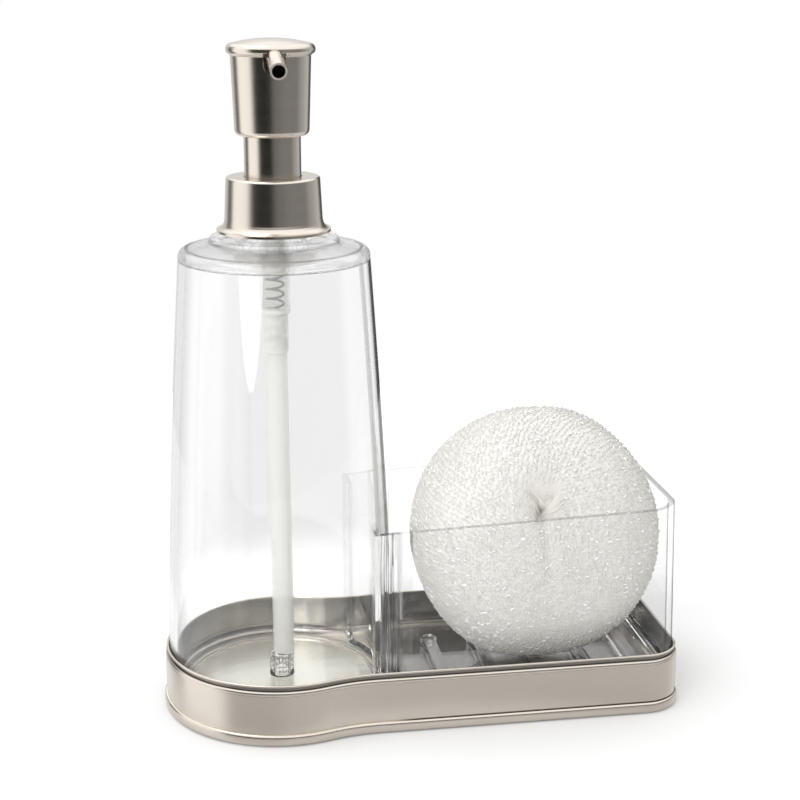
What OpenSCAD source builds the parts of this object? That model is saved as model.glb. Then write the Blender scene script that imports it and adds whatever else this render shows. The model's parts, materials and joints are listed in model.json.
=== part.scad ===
// Soap pump and scrubber caddy for a sink.
// A clear bottle and a clear open box stand in one metal tray, and a metal pump screws on the bottle.
// Lengths are in millimetres, +Z is up, and the origin is the middle of the footprint on the table.
// Each shape is drawn about the pump axis, and on_axis() moves it to its place.

/* [Tray] */
// Outer radius of the wall round the bottle
tray_round_r = 40; // [38:0.5:43]
// Pump axis to the outside of the straight end
tray_reach = 134.8; // [128:0.2:146]
// How much narrower than the round the straight part is, on each side
waist_in = 4.5; // [3:0.25:6]
// Height of the wall above its lower edge
tray_wall_h = 19.2; // [17:0.2:23]
// Height of the thin lip that stands on the wall
tray_lip_h = 1.8; // [1:0.1:2.4]
// Thickness of the lip
tray_lip_w = 0.7; // [0.5:0.05:0.8]
// Metal thickness of wall and floor
tray_sheet = 1.2; // [1:0.1:1.6]
// Upper face of the tray floor above the table
tray_floor_z = 6.5; // [6:0.1:8]
// Cove between wall and floor
tray_cove_r = 3; // [1.5:0.1:3.5]
// Outer radius of the two corners
tray_corner_r = 13; // [10:0.5:18]
// Hollow radius between the round and the straight part
tray_waist_r = 55; // [40:1:70]
// Height of the bead along the foot
bead_h = 3.8; // [2.6:0.1:4.4]
// How far the bead stands out
bead_out = 0.8; // [0.4:0.05:1.2]

/* [Feet] */
// Radius of a rubber foot
foot_r = 5; // [3:0.5:7]
// How far the feet stand below the wall
foot_proud = 0.4; // [0.2:0.1:1]
// Distance of a foot's centre from the nearest wall
foot_inset = 13; // [10:0.5:16]

/* [Bottle] */
// Gap between the clear unit and the tray wall
unit_gap = 0.15; // [0.1:0.05:0.3]
// Height of the bottle's wall, where the shoulder is joined on
bottle_joint_z = 155; // [140:1:160]
// Outer radius of the bottle at that joint
bottle_joint_r = 31.3; // [30.5:0.1:33]
// Bulge point of the wall's curve, its height
bottle_bulge_z = 58; // [45:1:75]
// Bulge point of the wall's curve, how far inside the base radius
bottle_bulge_in = 0.2; // [0:0.1:1.5]
// Wall of the bottle
bottle_wall = 2.5; // [2:0.1:3]
// Floor of the bottle and of the box
unit_floor = 2; // [1.5:0.1:2.5]
// Height of the boss below the dip tube
boss_h = 8; // [5:0.5:9]
// Radius of that boss
boss_r = 4.25; // [3.9:0.05:5]
// Wall of that boss
boss_wall = 1.3; // [1:0.1:1.6]
// Width of the slots that let liquid into the boss
boss_slot_w = 1.8; // [1.2:0.1:2.2]

/* [Shoulder and neck] */
// Height of the shoulder's upright edge
shoulder_side_h = 0.9; // [0.5:0.1:4]
// Rounding of the shoulder's edge
shoulder_edge_r = 2.6; // [1.5:0.1:3]
// Rise of the shoulder from its edge to the neck ring
shoulder_rise = 1.9; // [1:0.1:3]
// Thickness of the shoulder
shoulder_wall = 2.2; // [1.8:0.1:2.6]
// Depth of the shoulder's spigot in the bottle
spigot_depth = 2.5; // [1.5:0.1:4]
// Radius of the ridged ring below the collar
ring_r = 21; // [19.5:0.1:22]
// Width of the flat land round that ring
ring_land = 0.4; // [0.2:0.05:0.8]
// Height of that ring
ring_h = 1.8; // [1.2:0.1:2.5]
// Ridges round the ring
ring_ridges = 84; // [60:4:100]
// Depth of one ridge
ridge_depth = 0.35; // [0.2:0.05:0.5]
// Height of the neck above the ring
neck_h = 14; // [13:0.2:16]
// Outer radius of the neck at the thread's root
neck_r = 12.6; // [12.4:0.1:12.8]
// Bore radius of the neck
neck_bore_r = 10.8; // [10.4:0.1:11]
// Rise of the thread in one turn
thread_pitch = 4.23; // [4:0.01:4.4]
// Depth of the neck's thread
thread_depth = 1.1; // [0.8:0.05:1.15]
// Width of a thread at its root
thread_root_w = 1.8; // [1.4:0.1:2]
// Width of a thread at its crest
thread_crest_w = 1; // [0.6:0.1:1.2]
// Turns of the neck's thread
neck_turns = 1.75; // [1:0.25:2]
// Turns of the nut's thread
nut_turns = 1.5; // [1:0.25:2]

/* [Box] */
// Rim height of the box beside the bottle
box_rim_z = 69.6; // [60:0.2:80]
// Rise of the rim from there to the far end
box_rim_rise = 3.4; // [0:0.2:6]
// Wall of the box
box_wall = 2.1; // [1.8:0.1:2.4]
// Lean of the end wall from its foot to the rim
box_end_lean = 1.8; // [0:0.1:2.4]
// Pump axis to the outside of the webs that join box and bottle
web_x = 27.8; // [25:0.2:30]
// Pump axis to the middle of the bowed wall beside the bottle
bowed_wall_x = 37; // [36:0.1:40]
// Radius of the bowed wall
bowed_wall_r = 142; // [100:1:300]
// Drain ribs
rib_count = 5; // [3:1:6]
// Bowed wall's inner face to the first drain rib
rib_first_gap = 15.4; // [12:0.1:19]
// Last drain rib to the end wall's inner face at the rim
rib_last_gap = 7.05; // [6.5:0.05:12]
// Width of a rib
rib_w = 4; // [3:0.1:5]
// Radius of a rib's round end
rib_end_r = 3; // [2.6:0.1:3.6]
// How far a rib's round end lies beyond the middle line
rib_end_y = 13.7; // [5:0.1:20]
// Height of a rib
rib_h = 3; // [2:0.1:4]

/* [Collar] */
// Outer radius of the collar at its top edge
collar_top_r = 15.2; // [15:0.1:16]
// Outer radius where the bell starts to flare
collar_waist_r = 15.8; // [15.6:0.1:16.4]
// Radius of the bell's flange
collar_flange_r = 18.5; // [17.5:0.1:19.5]
// Thickness of the flange at its edge
collar_flange_t = 0.8; // [0.4:0.1:1.2]
// Height of the flare
collar_flare_h = 4.6; // [3:0.1:6]
// Gap between flange and neck ring
collar_ring_gap = 1.8; // [0.6:0.1:2.5]
// Metal plate on top of the collar
collar_plate = 1.6; // [1:0.1:2]
// Rounding of the collar's top edge
collar_edge_r = 0.9; // [0.4:0.1:1.2]
// Metal wall round the nut
collar_sheet = 0.6; // [0.4:0.05:0.8]
// Top web of the nut
nut_web = 1.6; // [1.2:0.1:2.2]
// Clearance between the nut's and the neck's threads
thread_gap = 0.2; // [0.12:0.01:0.3]
// Thickness of the neck gasket
gasket_t = 1; // [0.8:0.1:1.4]
// Gap round the sleeve in the collar's hole
sleeve_gap = 0.25; // [0.1:0.05:0.4]

/* [Pump body] */
// Outer radius of the sleeve between collar and head
sleeve_r = 9.15; // [9:0.05:9.3]
// Wall of the sleeve
sleeve_wall = 0.7; // [0.5:0.05:0.8]
// How far the sleeve reaches above the collar
sleeve_reach = 16.4; // [14:0.2:18]
// Thickness of the pump body's flange
flange_t = 1.2; // [1:0.1:1.6]
// Outer radius of the pump body inside the neck
body_top_r = 8; // [7.6:0.1:8.4]
// Depth of that wide part below the flange
body_top_h = 11; // [9:0.5:13]
// Height of the cone below it
body_cone_h = 6; // [4:0.5:8]
// Outer radius of the pump cylinder
cylinder_r = 4.9; // [4.8:0.05:5.2]
// Wall of the pump cylinder
cylinder_wall = 0.8; // [0.6:0.05:0.9]
// Lower end of the cylinder's wide bore
cylinder_low_z = 137; // [136:0.2:138]
// Outer radius of the spring pocket and tube socket
socket_r = 4.2; // [4.15:0.05:4.5]
// Lower end of the tube socket
socket_low_z = 124; // [122:0.5:125]
// Depth of the dip tube in its socket
socket_depth = 4; // [3:0.2:4.5]
// Radius of the hole below the inlet ball
inlet_hole_r = 1.4; // [1:0.1:1.5]
// Radius of the inlet ball
inlet_ball_r = 2; // [1.8:0.05:2.1]
// Outer radius of the dip tube
tube_r = 3.65; // [3.5:0.05:3.65]
// Wall of the dip tube
tube_wall = 0.7; // [0.5:0.05:0.9]
// Gap from the dip tube to the boss
tube_end_gap = 0.5; // [0.3:0.1:2]
// How far the tube's lower end stands to the right of the axis
tube_lean = 0.9; // [0:0.1:1]
// Running and slip clearance of round fits
slip = 0.05; // [0.03:0.01:0.08]
// Seat gap of parts that only rest against each other
rest_gap = 0.02; // [0.01:0.01:0.03]

/* [Stem] */
// Radius of the stem
stem_r = 3.3; // [3.2:0.05:3.4]
// Bore radius of the stem
stem_bore_r = 1.5; // [1.2:0.1:1.7]
// Height of the stem's foot, on top of the spring
stem_foot_z = 150; // [149.6:0.1:151]
// Thickness of the stem's foot
stem_foot_t = 1.2; // [0.8:0.1:1.6]
// Radius of the stem's foot
stem_foot_r = 3.6; // [3.4:0.1:3.8]
// Radius of the spigot that carries the piston seal
spigot_r = 2.3; // [2.2:0.1:2.6]
// Height of the piston seal
seal_h = 5; // [3.5:0.1:6]
// Radius of the outlet ball
outlet_ball_r = 1.9; // [1.8:0.05:2]
// Clearance round the outlet ball
ball_gap = 0.35; // [0.2:0.05:0.4]
// Height of the room for the outlet ball
ball_room_h = 6; // [5:0.1:7]

/* [Spring] */
// Outer radius of the pump spring
spring_r = 3.2; // [3.1:0.05:3.25]
// Wire diameter
wire_d = 0.8; // [0.6:0.05:0.9]
// Curls of the spring
spring_curls = 6; // [5:1:7]

/* [Head] */
// Travel of the head
press_travel = 12.5; // [10:0.5:13]
// Room left between head and collar at the end of the travel
press_rest = 0.5; // [0.3:0.1:1.5]
// Outer radius of the head's skirt above its rounded edge
head_low_r = 12; // [11.8:0.1:12.3]
// Outer radius of the head below its rim
head_high_r = 12.8; // [12.6:0.1:13]
// Length of the head's shell
head_shell_h = 25; // [24.5:0.1:26]
// Rounding of the head's lower edge
head_edge_r = 2; // [1:0.1:2.3]
// Gap between sleeve and head
head_gap = 0.35; // [0.25:0.05:0.45]
// Wall of the shell's upper room
head_wall = 1.2; // [1:0.1:1.4]
// Radius of the cap's rim
cap_r = 14.2; // [14:0.1:15]
// Height of the cap's rim
cap_rim_h = 3.9; // [3.4:0.1:4.2]
// Rise of the cap's dome above its rim
cap_dome_h = 1.5; // [1:0.1:1.8]
// Thickness of the cap's top
cap_top_t = 1.7; // [1.6:0.1:1.9]
// Wall of the cap's rim
cap_wall = 3; // [2.8:0.1:3.4]
// Radius of the core's boss round the stem
core_boss_r = 6; // [5.5:0.1:7]
// Length of stem held in the core
core_grip = 9; // [6:0.5:10]

/* [Nozzle] */
// Outer radius of the nozzle
nozzle_r = 2.67; // [2.5:0.01:2.8]
// Bore radius of the nozzle
nozzle_bore_r = 2.05; // [1.8:0.05:2.1]
// Downward slope of the nozzle in degrees
nozzle_slope = 13; // [8:1:15]
// Pump axis to the nozzle's tip, along the middle line
nozzle_reach = 27; // [24:0.5:32]
// Pump axis to the nozzle's inner end
nozzle_inner = 9; // [8.5:0.1:9.5]
// Width of the notch round the nozzle
notch_w = 7.2; // [6.8:0.1:8]
// Depth of the notch below the shell's upper edge
notch_depth = 5.8; // [5:0.1:6.2]
// Thickness of the block in the notch
block_t = 2.2; // [1.6:0.1:2.6]

/* [Scrubber] */
// Gap between the scrubber and the end wall
scrub_end_gap = 0.45; // [0.35:0.05:2]
// Gap between the scrubber and the bowed wall
scrub_bow_gap = 6.4; // [6:0.1:12]
// Gap between the scrubber and each side wall
scrub_side_gap = 0.75; // [0.6:0.05:5]
// Half height of the scrubber
scrub_z = 45; // [38:0.5:48]
// Gap of the soft scrubber to the ribs below it
soft_gap = 0.35; // [0.3:0.05:0.6]
// Depth of the gathered dimple
dimple_depth = 7; // [4:0.5:9]
// Radius of the gathered dimple
dimple_r = 7; // [5:0.5:9]
// Height of the dimple above the scrubber's middle
dimple_up = 14.5; // [8:0.5:20]
// Distance of the dimple from the scrubber's middle, towards the bottle
dimple_aside = 3.2; // [0:0.2:6]
// Radius of the cord loop that ties the scrubber
tie_r = 4; // [3:0.1:4.5]
// Radius of the tie's cord
tie_cord_r = 1; // [0.8:0.1:1.2]

/* [Hidden] */
$fn = 64;

// One overrun serves every cut
cut = 1;

// Tray
half_w = tray_round_r - waist_in;
tray_low_z = foot_proud;
tray_wall_z = tray_low_z + tray_wall_h;
waist_x = sqrt(pow(tray_round_r + tray_waist_r, 2) - pow(half_w + tray_waist_r, 2));
waist_y = half_w + tray_waist_r;
waist_angle = atan2(waist_y, waist_x);
corner_x = tray_reach - tray_corner_r;
corner_y = half_w - tray_corner_r;
bead_r = (bead_h * bead_h / 4 + bead_out * bead_out) / (2 * bead_out);
bead_layers = 5;
cove_layers = 4;
// The footprint is centred on the origin along X
axis_x = (tray_round_r - tray_reach) / 2;

// Clear unit, which fits the tray
unit_inset = tray_sheet + unit_gap;
unit_low_z = tray_floor_z;
unit_floor_z = unit_low_z + unit_floor;
unit_chamfer = tray_cove_r + unit_gap;
bottle_base_r = tray_round_r - unit_inset;
bottle_steps = 14;
box_half_w = half_w - unit_inset;
box_end_x = tray_reach - unit_inset;
box_corner_r = tray_corner_r - unit_inset;
box_room_z = box_rim_z + 2 * box_rim_rise;
box_slab = 0.01;
bowed_in_x = bowed_wall_x + box_wall;
end_in_x = box_end_x - box_end_lean - box_wall;
rib_first_x = bowed_in_x + rib_first_gap;
rib_pitch = (end_in_x - rib_last_gap - rib_first_x) / (rib_count - 1);
rim_angle = atan2(box_rim_rise, box_end_x - bowed_wall_x);

// Shoulder and neck
side_top_z = bottle_joint_z + shoulder_side_h;
edge_x = bottle_joint_r - shoulder_edge_r;
edge_top_z = side_top_z + shoulder_edge_r;
ring_low_z = edge_top_z + shoulder_rise;
ring_top_z = ring_low_z + ring_h;
neck_top_z = ring_top_z + neck_h;

// Pump body, stacked on the neck
flange_low_z = neck_top_z + gasket_t;
flange_top_z = flange_low_z + flange_t;
nut_top_z = flange_top_z + nut_web;
collar_top_z = nut_top_z + collar_plate;
collar_low_z = ring_top_z + collar_ring_gap;
nut_bore_r = neck_r + thread_depth + thread_gap;
nut_thread_r = neck_r + thread_gap;
nut_r = collar_top_r - collar_sheet;
nut_low_z = collar_low_z + collar_flange_t;
sleeve_hole_r = sleeve_r + sleeve_gap;
sleeve_top_z = collar_top_z + sleeve_reach;
flange_r = neck_r - slip;
body_bore_r = body_top_r - cylinder_wall;
body_top_low_z = flange_low_z - body_top_h;
cylinder_top_z = body_top_low_z - body_cone_h;
cylinder_bore_r = cylinder_r - cylinder_wall;
tube_top_z = socket_low_z + socket_depth;
seat_top_z = tube_top_z + cylinder_wall;
spring_pocket_r = spring_r + 4 * slip;
ball_room_r = inlet_ball_r + ball_gap;
spring_seat_z = seat_top_z + ball_room_r - inlet_hole_r;
inlet_ball_z = seat_top_z - inlet_hole_r + sqrt(2) * inlet_ball_r + rest_gap;
tube_low_z = unit_floor_z + boss_h + tube_end_gap;
tube_length = tube_top_z - tube_low_z;

// Stem and head
seal_low_z = stem_foot_z + stem_foot_t;
seal_top_z = seal_low_z + seal_h;
head_low_z = collar_top_z + press_travel + press_rest;
head_top_z = head_low_z + head_shell_h;
head_room_z = sleeve_top_z + press_travel + press_rest;
head_bore_r = sleeve_r + head_gap;
core_r = head_high_r - head_wall;
core_low_z = head_room_z + rest_gap;
stem_top_z = core_low_z + rest_gap;
core_boss_z = stem_top_z - core_grip;
outlet_room_z = stem_top_z - ball_room_h;
outlet_room_r = outlet_ball_r + ball_gap;
outlet_ball_z = outlet_room_z - stem_bore_r + sqrt(2) * outlet_ball_r + rest_gap;
cap_rim_z = head_top_z + cap_rim_h;
cap_top_z = cap_rim_z + cap_dome_h;
cap_room_z = cap_top_z - cap_top_t;
cap_room_r = cap_r - cap_wall;
core_top_z = cap_room_z - rest_gap;
core_top_r = cap_room_r - slip;
nozzle_z = head_top_z;
guide_r = sleeve_r - sleeve_wall;
guide_h = flange_t * 3;
guide_plug_h = body_top_h / 2;

// Spring
wire_r = wire_d / 2;
curl_rings = 8;
wire_sides = 6;
spring_low_z = spring_seat_z + wire_r + rest_gap;
spring_high_z = stem_foot_z - wire_r - rest_gap;
spring_mid_r = spring_r - wire_r;

// Scrubber
scrub_x = (end_in_x - scrub_end_gap - bowed_in_x - scrub_bow_gap) / 2;
scrub_y = box_half_w - box_wall - scrub_side_gap;
scrub_mid_x = bowed_in_x + scrub_bow_gap + scrub_x;
scrub_low_z = unit_floor_z + rib_h + soft_gap;
scrub_mid_z = scrub_low_z + scrub_z;
scrub_power = 2.6;
scrub_rounds = 48;
scrub_rows = 24;

// Threads, with the nut's midway between two turns of the neck's
thread_steps = 24;
thread_sink = 0.25;
neck_thread_z = ring_top_z + thread_root_w + thread_pitch / 2;
nut_thread_z = nut_low_z + thread_root_w / 2 + thread_pitch / 4;
nut_phase = 360 * (nut_thread_z - neck_thread_z) / thread_pitch + 180;

// Moves a shape from the pump axis to its place
module on_axis() {
    translate([axis_x, 0, 0]) children();
}

// Point of a curve that bends once, for a share t of its way
function bend(a, b, c, t) = (1 - t) * (1 - t) * a + 2 * t * (1 - t) * b + t * t * c;

// Outline of a round stretch from angle a to angle b
function arc(mid, r, a, b, n = 8) = [
    for (i = [0 : n]) mid + r * [cos(a + (b - a) * i / n), sin(a + (b - a) * i / n)]
];

// Closed tube through rings of points
function ring_faces(rings, sides) = concat(
    [for (i = [0 : rings - 2], j = [0 : sides - 1])
        [i * sides + j, i * sides + (j + 1) % sides, (i + 1) * sides + (j + 1) % sides]],
    [for (i = [0 : rings - 2], j = [0 : sides - 1])
        [i * sides + j, (i + 1) * sides + (j + 1) % sides, (i + 1) * sides + j]],
    [for (j = [1 : sides - 2]) [0, j + 1, j]],
    [for (j = [1 : sides - 2])
        [(rings - 1) * sides, (rings - 1) * sides + j, (rings - 1) * sides + j + 1]]
);

// Area inside the outline, drawn in by inset
module footprint(inset) {
    circle(tray_round_r - inset);
    for (side = [-1, 1]) difference() {
        polygon([[0, 0], [waist_x, side * waist_y], [waist_x, 0]]);
        translate([waist_x, side * waist_y]) circle(tray_waist_r + inset);
    }
    translate([waist_x - unit_gap, inset - half_w]) square([corner_x - waist_x + unit_gap, 2 * (half_w - inset)]);
    translate([corner_x, -corner_y]) square([tray_corner_r - inset, 2 * corner_y]);
    for (side = [-1, 1]) translate([corner_x, side * corner_y]) circle(tray_corner_r - inset);
}

// Upright band along the outline, between two insets
module band(low_z, h, outer, inner) {
    translate([0, 0, low_z]) linear_extrude(h) difference() {
        footprint(outer);
        footprint(inner);
    }
}

module base_tray() {
    bead_step = bead_h / bead_layers;
    cove_step = tray_cove_r / cove_layers;
    color([0.72, 0.69, 0.65]) on_axis() {
        band(tray_low_z, tray_wall_h, 0, tray_sheet);
        band(tray_wall_z, tray_lip_h, tray_sheet - tray_lip_w, tray_sheet);
        for (i = [0 : bead_layers - 1])
            band(tray_low_z + i * bead_step, bead_step,
                bead_r - bead_out - sqrt(pow(bead_r, 2) - pow((i + 0.5) * bead_step - bead_h / 2, 2)), tray_sheet / 2);
        for (i = [0 : cove_layers - 1])
            band(tray_floor_z, (i + 1) * cove_step, tray_sheet / 2,
                tray_sheet + tray_cove_r - sqrt(pow(tray_cove_r, 2) - pow(tray_cove_r - (i + 0.5) * cove_step, 2)));
        translate([0, 0, tray_floor_z - tray_sheet]) linear_extrude(tray_sheet) footprint(tray_sheet / 2);
    }
}

module rubber_feet() {
    far_x = tray_reach - foot_inset;
    near_x = (foot_inset - tray_round_r) * cos(45);
    foot_y = half_w - foot_inset;
    color([0.2, 0.2, 0.2]) on_axis()
        for (side = [-1, 1], x = [near_x, far_x])
            translate([x, side * foot_y, 0]) cylinder(h = tray_floor_z - tray_sheet, r = foot_r);
}

// Outer outline of the bottle's wall, from its foot to the joint
function bottle_side(inset, low_z) = [
    for (i = [0 : bottle_steps])
        [bend(bottle_base_r, bottle_base_r - bottle_bulge_in, bottle_joint_r, i / bottle_steps) - inset,
            bend(low_z, bottle_bulge_z, bottle_joint_z, i / bottle_steps)]
];

// Solid of the bottle's outside, which the box is cut by
module bottle_outside() {
    rotate_extrude() polygon(concat(
        [[0, unit_low_z], [bottle_base_r - unit_chamfer, unit_low_z]],
        bottle_side(0, unit_low_z + unit_chamfer),
        [[0, bottle_joint_z]]
    ));
}

module bottle_shell() {
    inner = bottle_side(bottle_wall, unit_low_z + unit_chamfer);
    color([0.9, 0.95, 0.97, 0.4]) on_axis() {
        difference() {
            bottle_outside();
            rotate_extrude() polygon(concat(
                [[0, unit_floor_z], [inner[0].x - unit_floor, unit_floor_z]],
                inner,
                [[inner[bottle_steps].x, bottle_joint_z + cut], [0, bottle_joint_z + cut]]
            ));
        }
        difference() {
            translate([0, 0, unit_floor_z]) cylinder(h = boss_h, r = boss_r);
            translate([0, 0, unit_floor_z]) cylinder(h = boss_h + cut, r = boss_r - boss_wall);
            for (a = [0, 60, 120]) rotate([0, 0, a])
                translate([-boss_r - cut, -boss_slot_w / 2, unit_floor_z])
                    cube([2 * (boss_r + cut), boss_slot_w, boss_h / 2]);
        }
    }
}

// Ring with upright ridges
module ridged_ring() {
    step = 180 / ring_ridges;
    linear_extrude(ring_h) polygon([
        for (i = [0 : 2 * ring_ridges - 1])
            (ring_r - (i % 2 == 0 ? 0 : ridge_depth)) * [cos(i * step), sin(i * step)]
    ]);
}

// One thread that climbs round the axis, from radius a to radius b
module thread(a, b, turns, low_z, phase) {
    rings = round(turns * thread_steps) + 1;
    points = [
        for (i = [0 : rings - 1])
            let (
                turn = i / thread_steps,
                angle = phase + 360 * turn,
                z = low_z + thread_pitch * turn
            )
            for (p = [[a, -thread_root_w / 2], [b, -thread_crest_w / 2], [b, thread_crest_w / 2], [a, thread_root_w / 2]])
                [p.x * cos(angle), p.x * sin(angle), z + p.y]
    ];
    polyhedron(points, b > a ? ring_faces(rings, 4) : [for (f = ring_faces(rings, 4)) [f[0], f[2], f[1]]]);
}

module bottle_shoulder() {
    joint_in_r = bottle_joint_r - bottle_wall - slip;
    roof_z = edge_top_z - shoulder_wall;
    color([0.9, 0.95, 0.97, 0.4]) on_axis() {
        difference() {
            union() {
                rotate_extrude() polygon(concat(
                    [[neck_bore_r, roof_z + shoulder_rise], [joint_in_r - shoulder_wall, roof_z],
                        [joint_in_r - shoulder_wall, bottle_joint_z - spigot_depth],
                        [joint_in_r, bottle_joint_z - spigot_depth], [joint_in_r, bottle_joint_z],
                        [bottle_joint_r, bottle_joint_z]],
                    arc([edge_x, side_top_z], shoulder_edge_r, 0, 90),
                    [[ring_r + ring_land, ring_low_z], [neck_r, ring_low_z], [neck_r, neck_top_z],
                        [neck_bore_r, neck_top_z]]
                ));
                translate([0, 0, ring_low_z]) ridged_ring();
            }
            translate([0, 0, ring_low_z - cut]) cylinder(h = neck_h + ring_h + 2 * cut, r = neck_bore_r);
        }
        thread(neck_r - thread_sink, neck_r + thread_depth, neck_turns, neck_thread_z, 0);
    }
}

// Outline of the box at one height, as a thin slab
module box_slice(z, x0, x1, half, r) {
    translate([0, 0, z]) linear_extrude(box_slab) {
        translate([x0, -half]) square([x1 - r - x0, 2 * half]);
        translate([x0, r - half]) square([x1 - x0, 2 * (half - r)]);
        for (side = [-1, 1]) translate([x1 - r, side * (half - r)]) circle(r, $fn = 32);
    }
}

// Solid between floor and rim, drawn in by inset
module box_block(inset, low_z) {
    r = box_corner_r - inset;
    x0 = web_x + inset;
    hull() {
        box_slice(low_z, x0, box_end_x - unit_chamfer, box_half_w - unit_chamfer, r);
        box_slice(low_z + unit_chamfer - inset, x0, box_end_x - inset, box_half_w - inset, r);
        box_slice(box_room_z, x0, box_end_x - inset - box_end_lean, box_half_w - inset, r);
    }
}

// Space on the box's side of the bowed wall's face
module bowed_side(inset) {
    translate([bowed_wall_x + bowed_wall_r, 0, 0])
        cylinder(h = box_room_z + cut, r = bowed_wall_r - inset, $fn = 128);
}

module drain_ribs() {
    start_y = box_wall / 2 - box_half_w;
    for (i = [0 : rib_count - 1]) translate([rib_first_x + i * rib_pitch, 0, unit_floor_z - unit_gap]) {
        translate([-rib_w / 2, start_y, 0]) cube([rib_w, rib_end_y - start_y, rib_h + unit_gap]);
        translate([0, rib_end_y, 0]) cylinder(h = rib_h + unit_gap, r = rib_end_r);
    }
}

module caddy_box() {
    color([0.9, 0.95, 0.97, 0.4]) on_axis() difference() {
        union() {
            difference() {
                box_block(0, unit_low_z);
                difference() {
                    box_block(box_wall, unit_floor_z);
                    difference() {
                        bowed_side(0);
                        bowed_side(box_wall);
                    }
                }
            }
            drain_ribs();
        }
        bottle_outside();
        translate([bowed_wall_x, -box_half_w - cut, box_rim_z]) rotate([0, -rim_angle, 0])
            translate([-box_half_w, 0, 0]) cube([box_end_x + box_half_w, 2 * (box_half_w + cut), box_rim_z]);
    }
}

module collar_shell() {
    flare = [
        for (i = [0 : 8])
            [bend(collar_flange_r, collar_waist_r, collar_waist_r, i / 8),
                bend(collar_low_z + collar_flange_t, collar_low_z + collar_flange_t,
                    collar_low_z + collar_flange_t + collar_flare_h, i / 8)]
    ];
    color([0.62, 0.58, 0.53]) on_axis() rotate_extrude() polygon(concat(
        [[nut_r, collar_low_z], [collar_flange_r, collar_low_z]],
        flare,
        arc([collar_top_r - collar_edge_r, collar_top_z - collar_edge_r], collar_edge_r, 0, 90),
        [[sleeve_hole_r, collar_top_z], [sleeve_hole_r, nut_top_z], [nut_r, nut_top_z]]
    ));
}

module collar_nut() {
    color([0.93, 0.93, 0.92]) on_axis() {
        rotate_extrude() polygon([
            [nut_bore_r, nut_low_z], [nut_r, nut_low_z], [nut_r, nut_top_z], [sleeve_hole_r, nut_top_z],
            [sleeve_hole_r, flange_top_z], [nut_bore_r, flange_top_z]
        ]);
        thread(nut_bore_r + thread_sink, nut_thread_r, nut_turns, nut_thread_z, nut_phase);
    }
}

module neck_gasket() {
    color([0.75, 0.75, 0.75]) on_axis() translate([0, 0, neck_top_z]) difference() {
        cylinder(h = gasket_t, r = flange_r);
        translate([0, 0, -cut]) cylinder(h = gasket_t + 2 * cut, r = neck_bore_r);
    }
}

module pump_sleeve() {
    color([0.62, 0.58, 0.53]) on_axis() translate([0, 0, flange_top_z]) difference() {
        cylinder(h = sleeve_top_z - flange_top_z, r = sleeve_r);
        translate([0, 0, -cut]) cylinder(h = sleeve_top_z - flange_top_z + 2 * cut, r = guide_r);
    }
}

module sleeve_guide() {
    plug_z = flange_top_z - guide_plug_h;
    color([0.93, 0.93, 0.92]) on_axis() difference() {
        union() {
            translate([0, 0, flange_top_z]) cylinder(h = guide_h, r = guide_r);
            translate([0, 0, plug_z]) cylinder(h = guide_plug_h, r = body_bore_r);
        }
        translate([0, 0, plug_z - cut]) cylinder(h = guide_plug_h + guide_h + 2 * cut, r = stem_r + slip);
    }
}

module pump_housing() {
    color([0.95, 0.95, 0.94]) on_axis() rotate_extrude() polygon([
        [body_bore_r, flange_top_z], [flange_r, flange_top_z], [flange_r, flange_low_z],
        [body_top_r, flange_low_z], [body_top_r, body_top_low_z], [cylinder_r, cylinder_top_z],
        [cylinder_r, cylinder_low_z], [socket_r, cylinder_low_z - (cylinder_r - socket_r)],
        [socket_r, socket_low_z], [tube_r + slip, socket_low_z], [tube_r + slip, tube_top_z],
        [inlet_hole_r, tube_top_z], [inlet_hole_r, seat_top_z], [ball_room_r, spring_seat_z],
        [spring_pocket_r, spring_seat_z], [spring_pocket_r, cylinder_low_z],
        [cylinder_bore_r, cylinder_low_z], [cylinder_bore_r, cylinder_top_z],
        [body_bore_r, body_top_low_z]
    ]);
}

module dip_tube() {
    lean = atan2(tube_lean, tube_length);
    color([0.95, 0.95, 0.95]) on_axis() translate([0, 0, tube_top_z - rest_gap]) rotate([0, 180 - lean, 0])
        difference() {
            cylinder(h = tube_length, r = tube_r);
            translate([0, 0, -cut]) cylinder(h = tube_length + 2 * cut, r = tube_r - tube_wall);
        }
}

module inlet_ball() {
    color([0.8, 0.8, 0.82]) on_axis() translate([0, 0, inlet_ball_z]) sphere(inlet_ball_r);
}

// Middle line of the spring's wire
spring_line = [
    for (i = [0 : spring_curls * curl_rings])
        let (turn = i / curl_rings, share = turn / spring_curls)
        [spring_mid_r * cos(360 * turn), spring_mid_r * sin(360 * turn),
            spring_low_z + (spring_high_z - spring_low_z) * share]
];
spring_gap = min([
    for (i = [0 : len(spring_line) - 1], j = [i + curl_rings / 2 : len(spring_line) - 1])
        norm(spring_line[j] - spring_line[i]) - wire_d
]);

module pump_spring() {
    echo("pump_spring least gap in mm", spring_gap);
    slope = atan2((spring_high_z - spring_low_z) / spring_curls, 360 * spring_mid_r * PI / 180);
    points = [
        for (i = [0 : len(spring_line) - 1], k = [0 : wire_sides - 1])
            let (
                a = 360 * i / curl_rings,
                b = 360 * k / wire_sides,
                out = [cos(a), sin(a), 0],
                up = [sin(a) * sin(slope), -cos(a) * sin(slope), cos(slope)]
            )
            spring_line[i] + wire_r * (cos(b) * out + sin(b) * up)
    ];
    color([0.8, 0.8, 0.82]) on_axis() polyhedron(points, ring_faces(len(spring_line), wire_sides));
}

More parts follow.
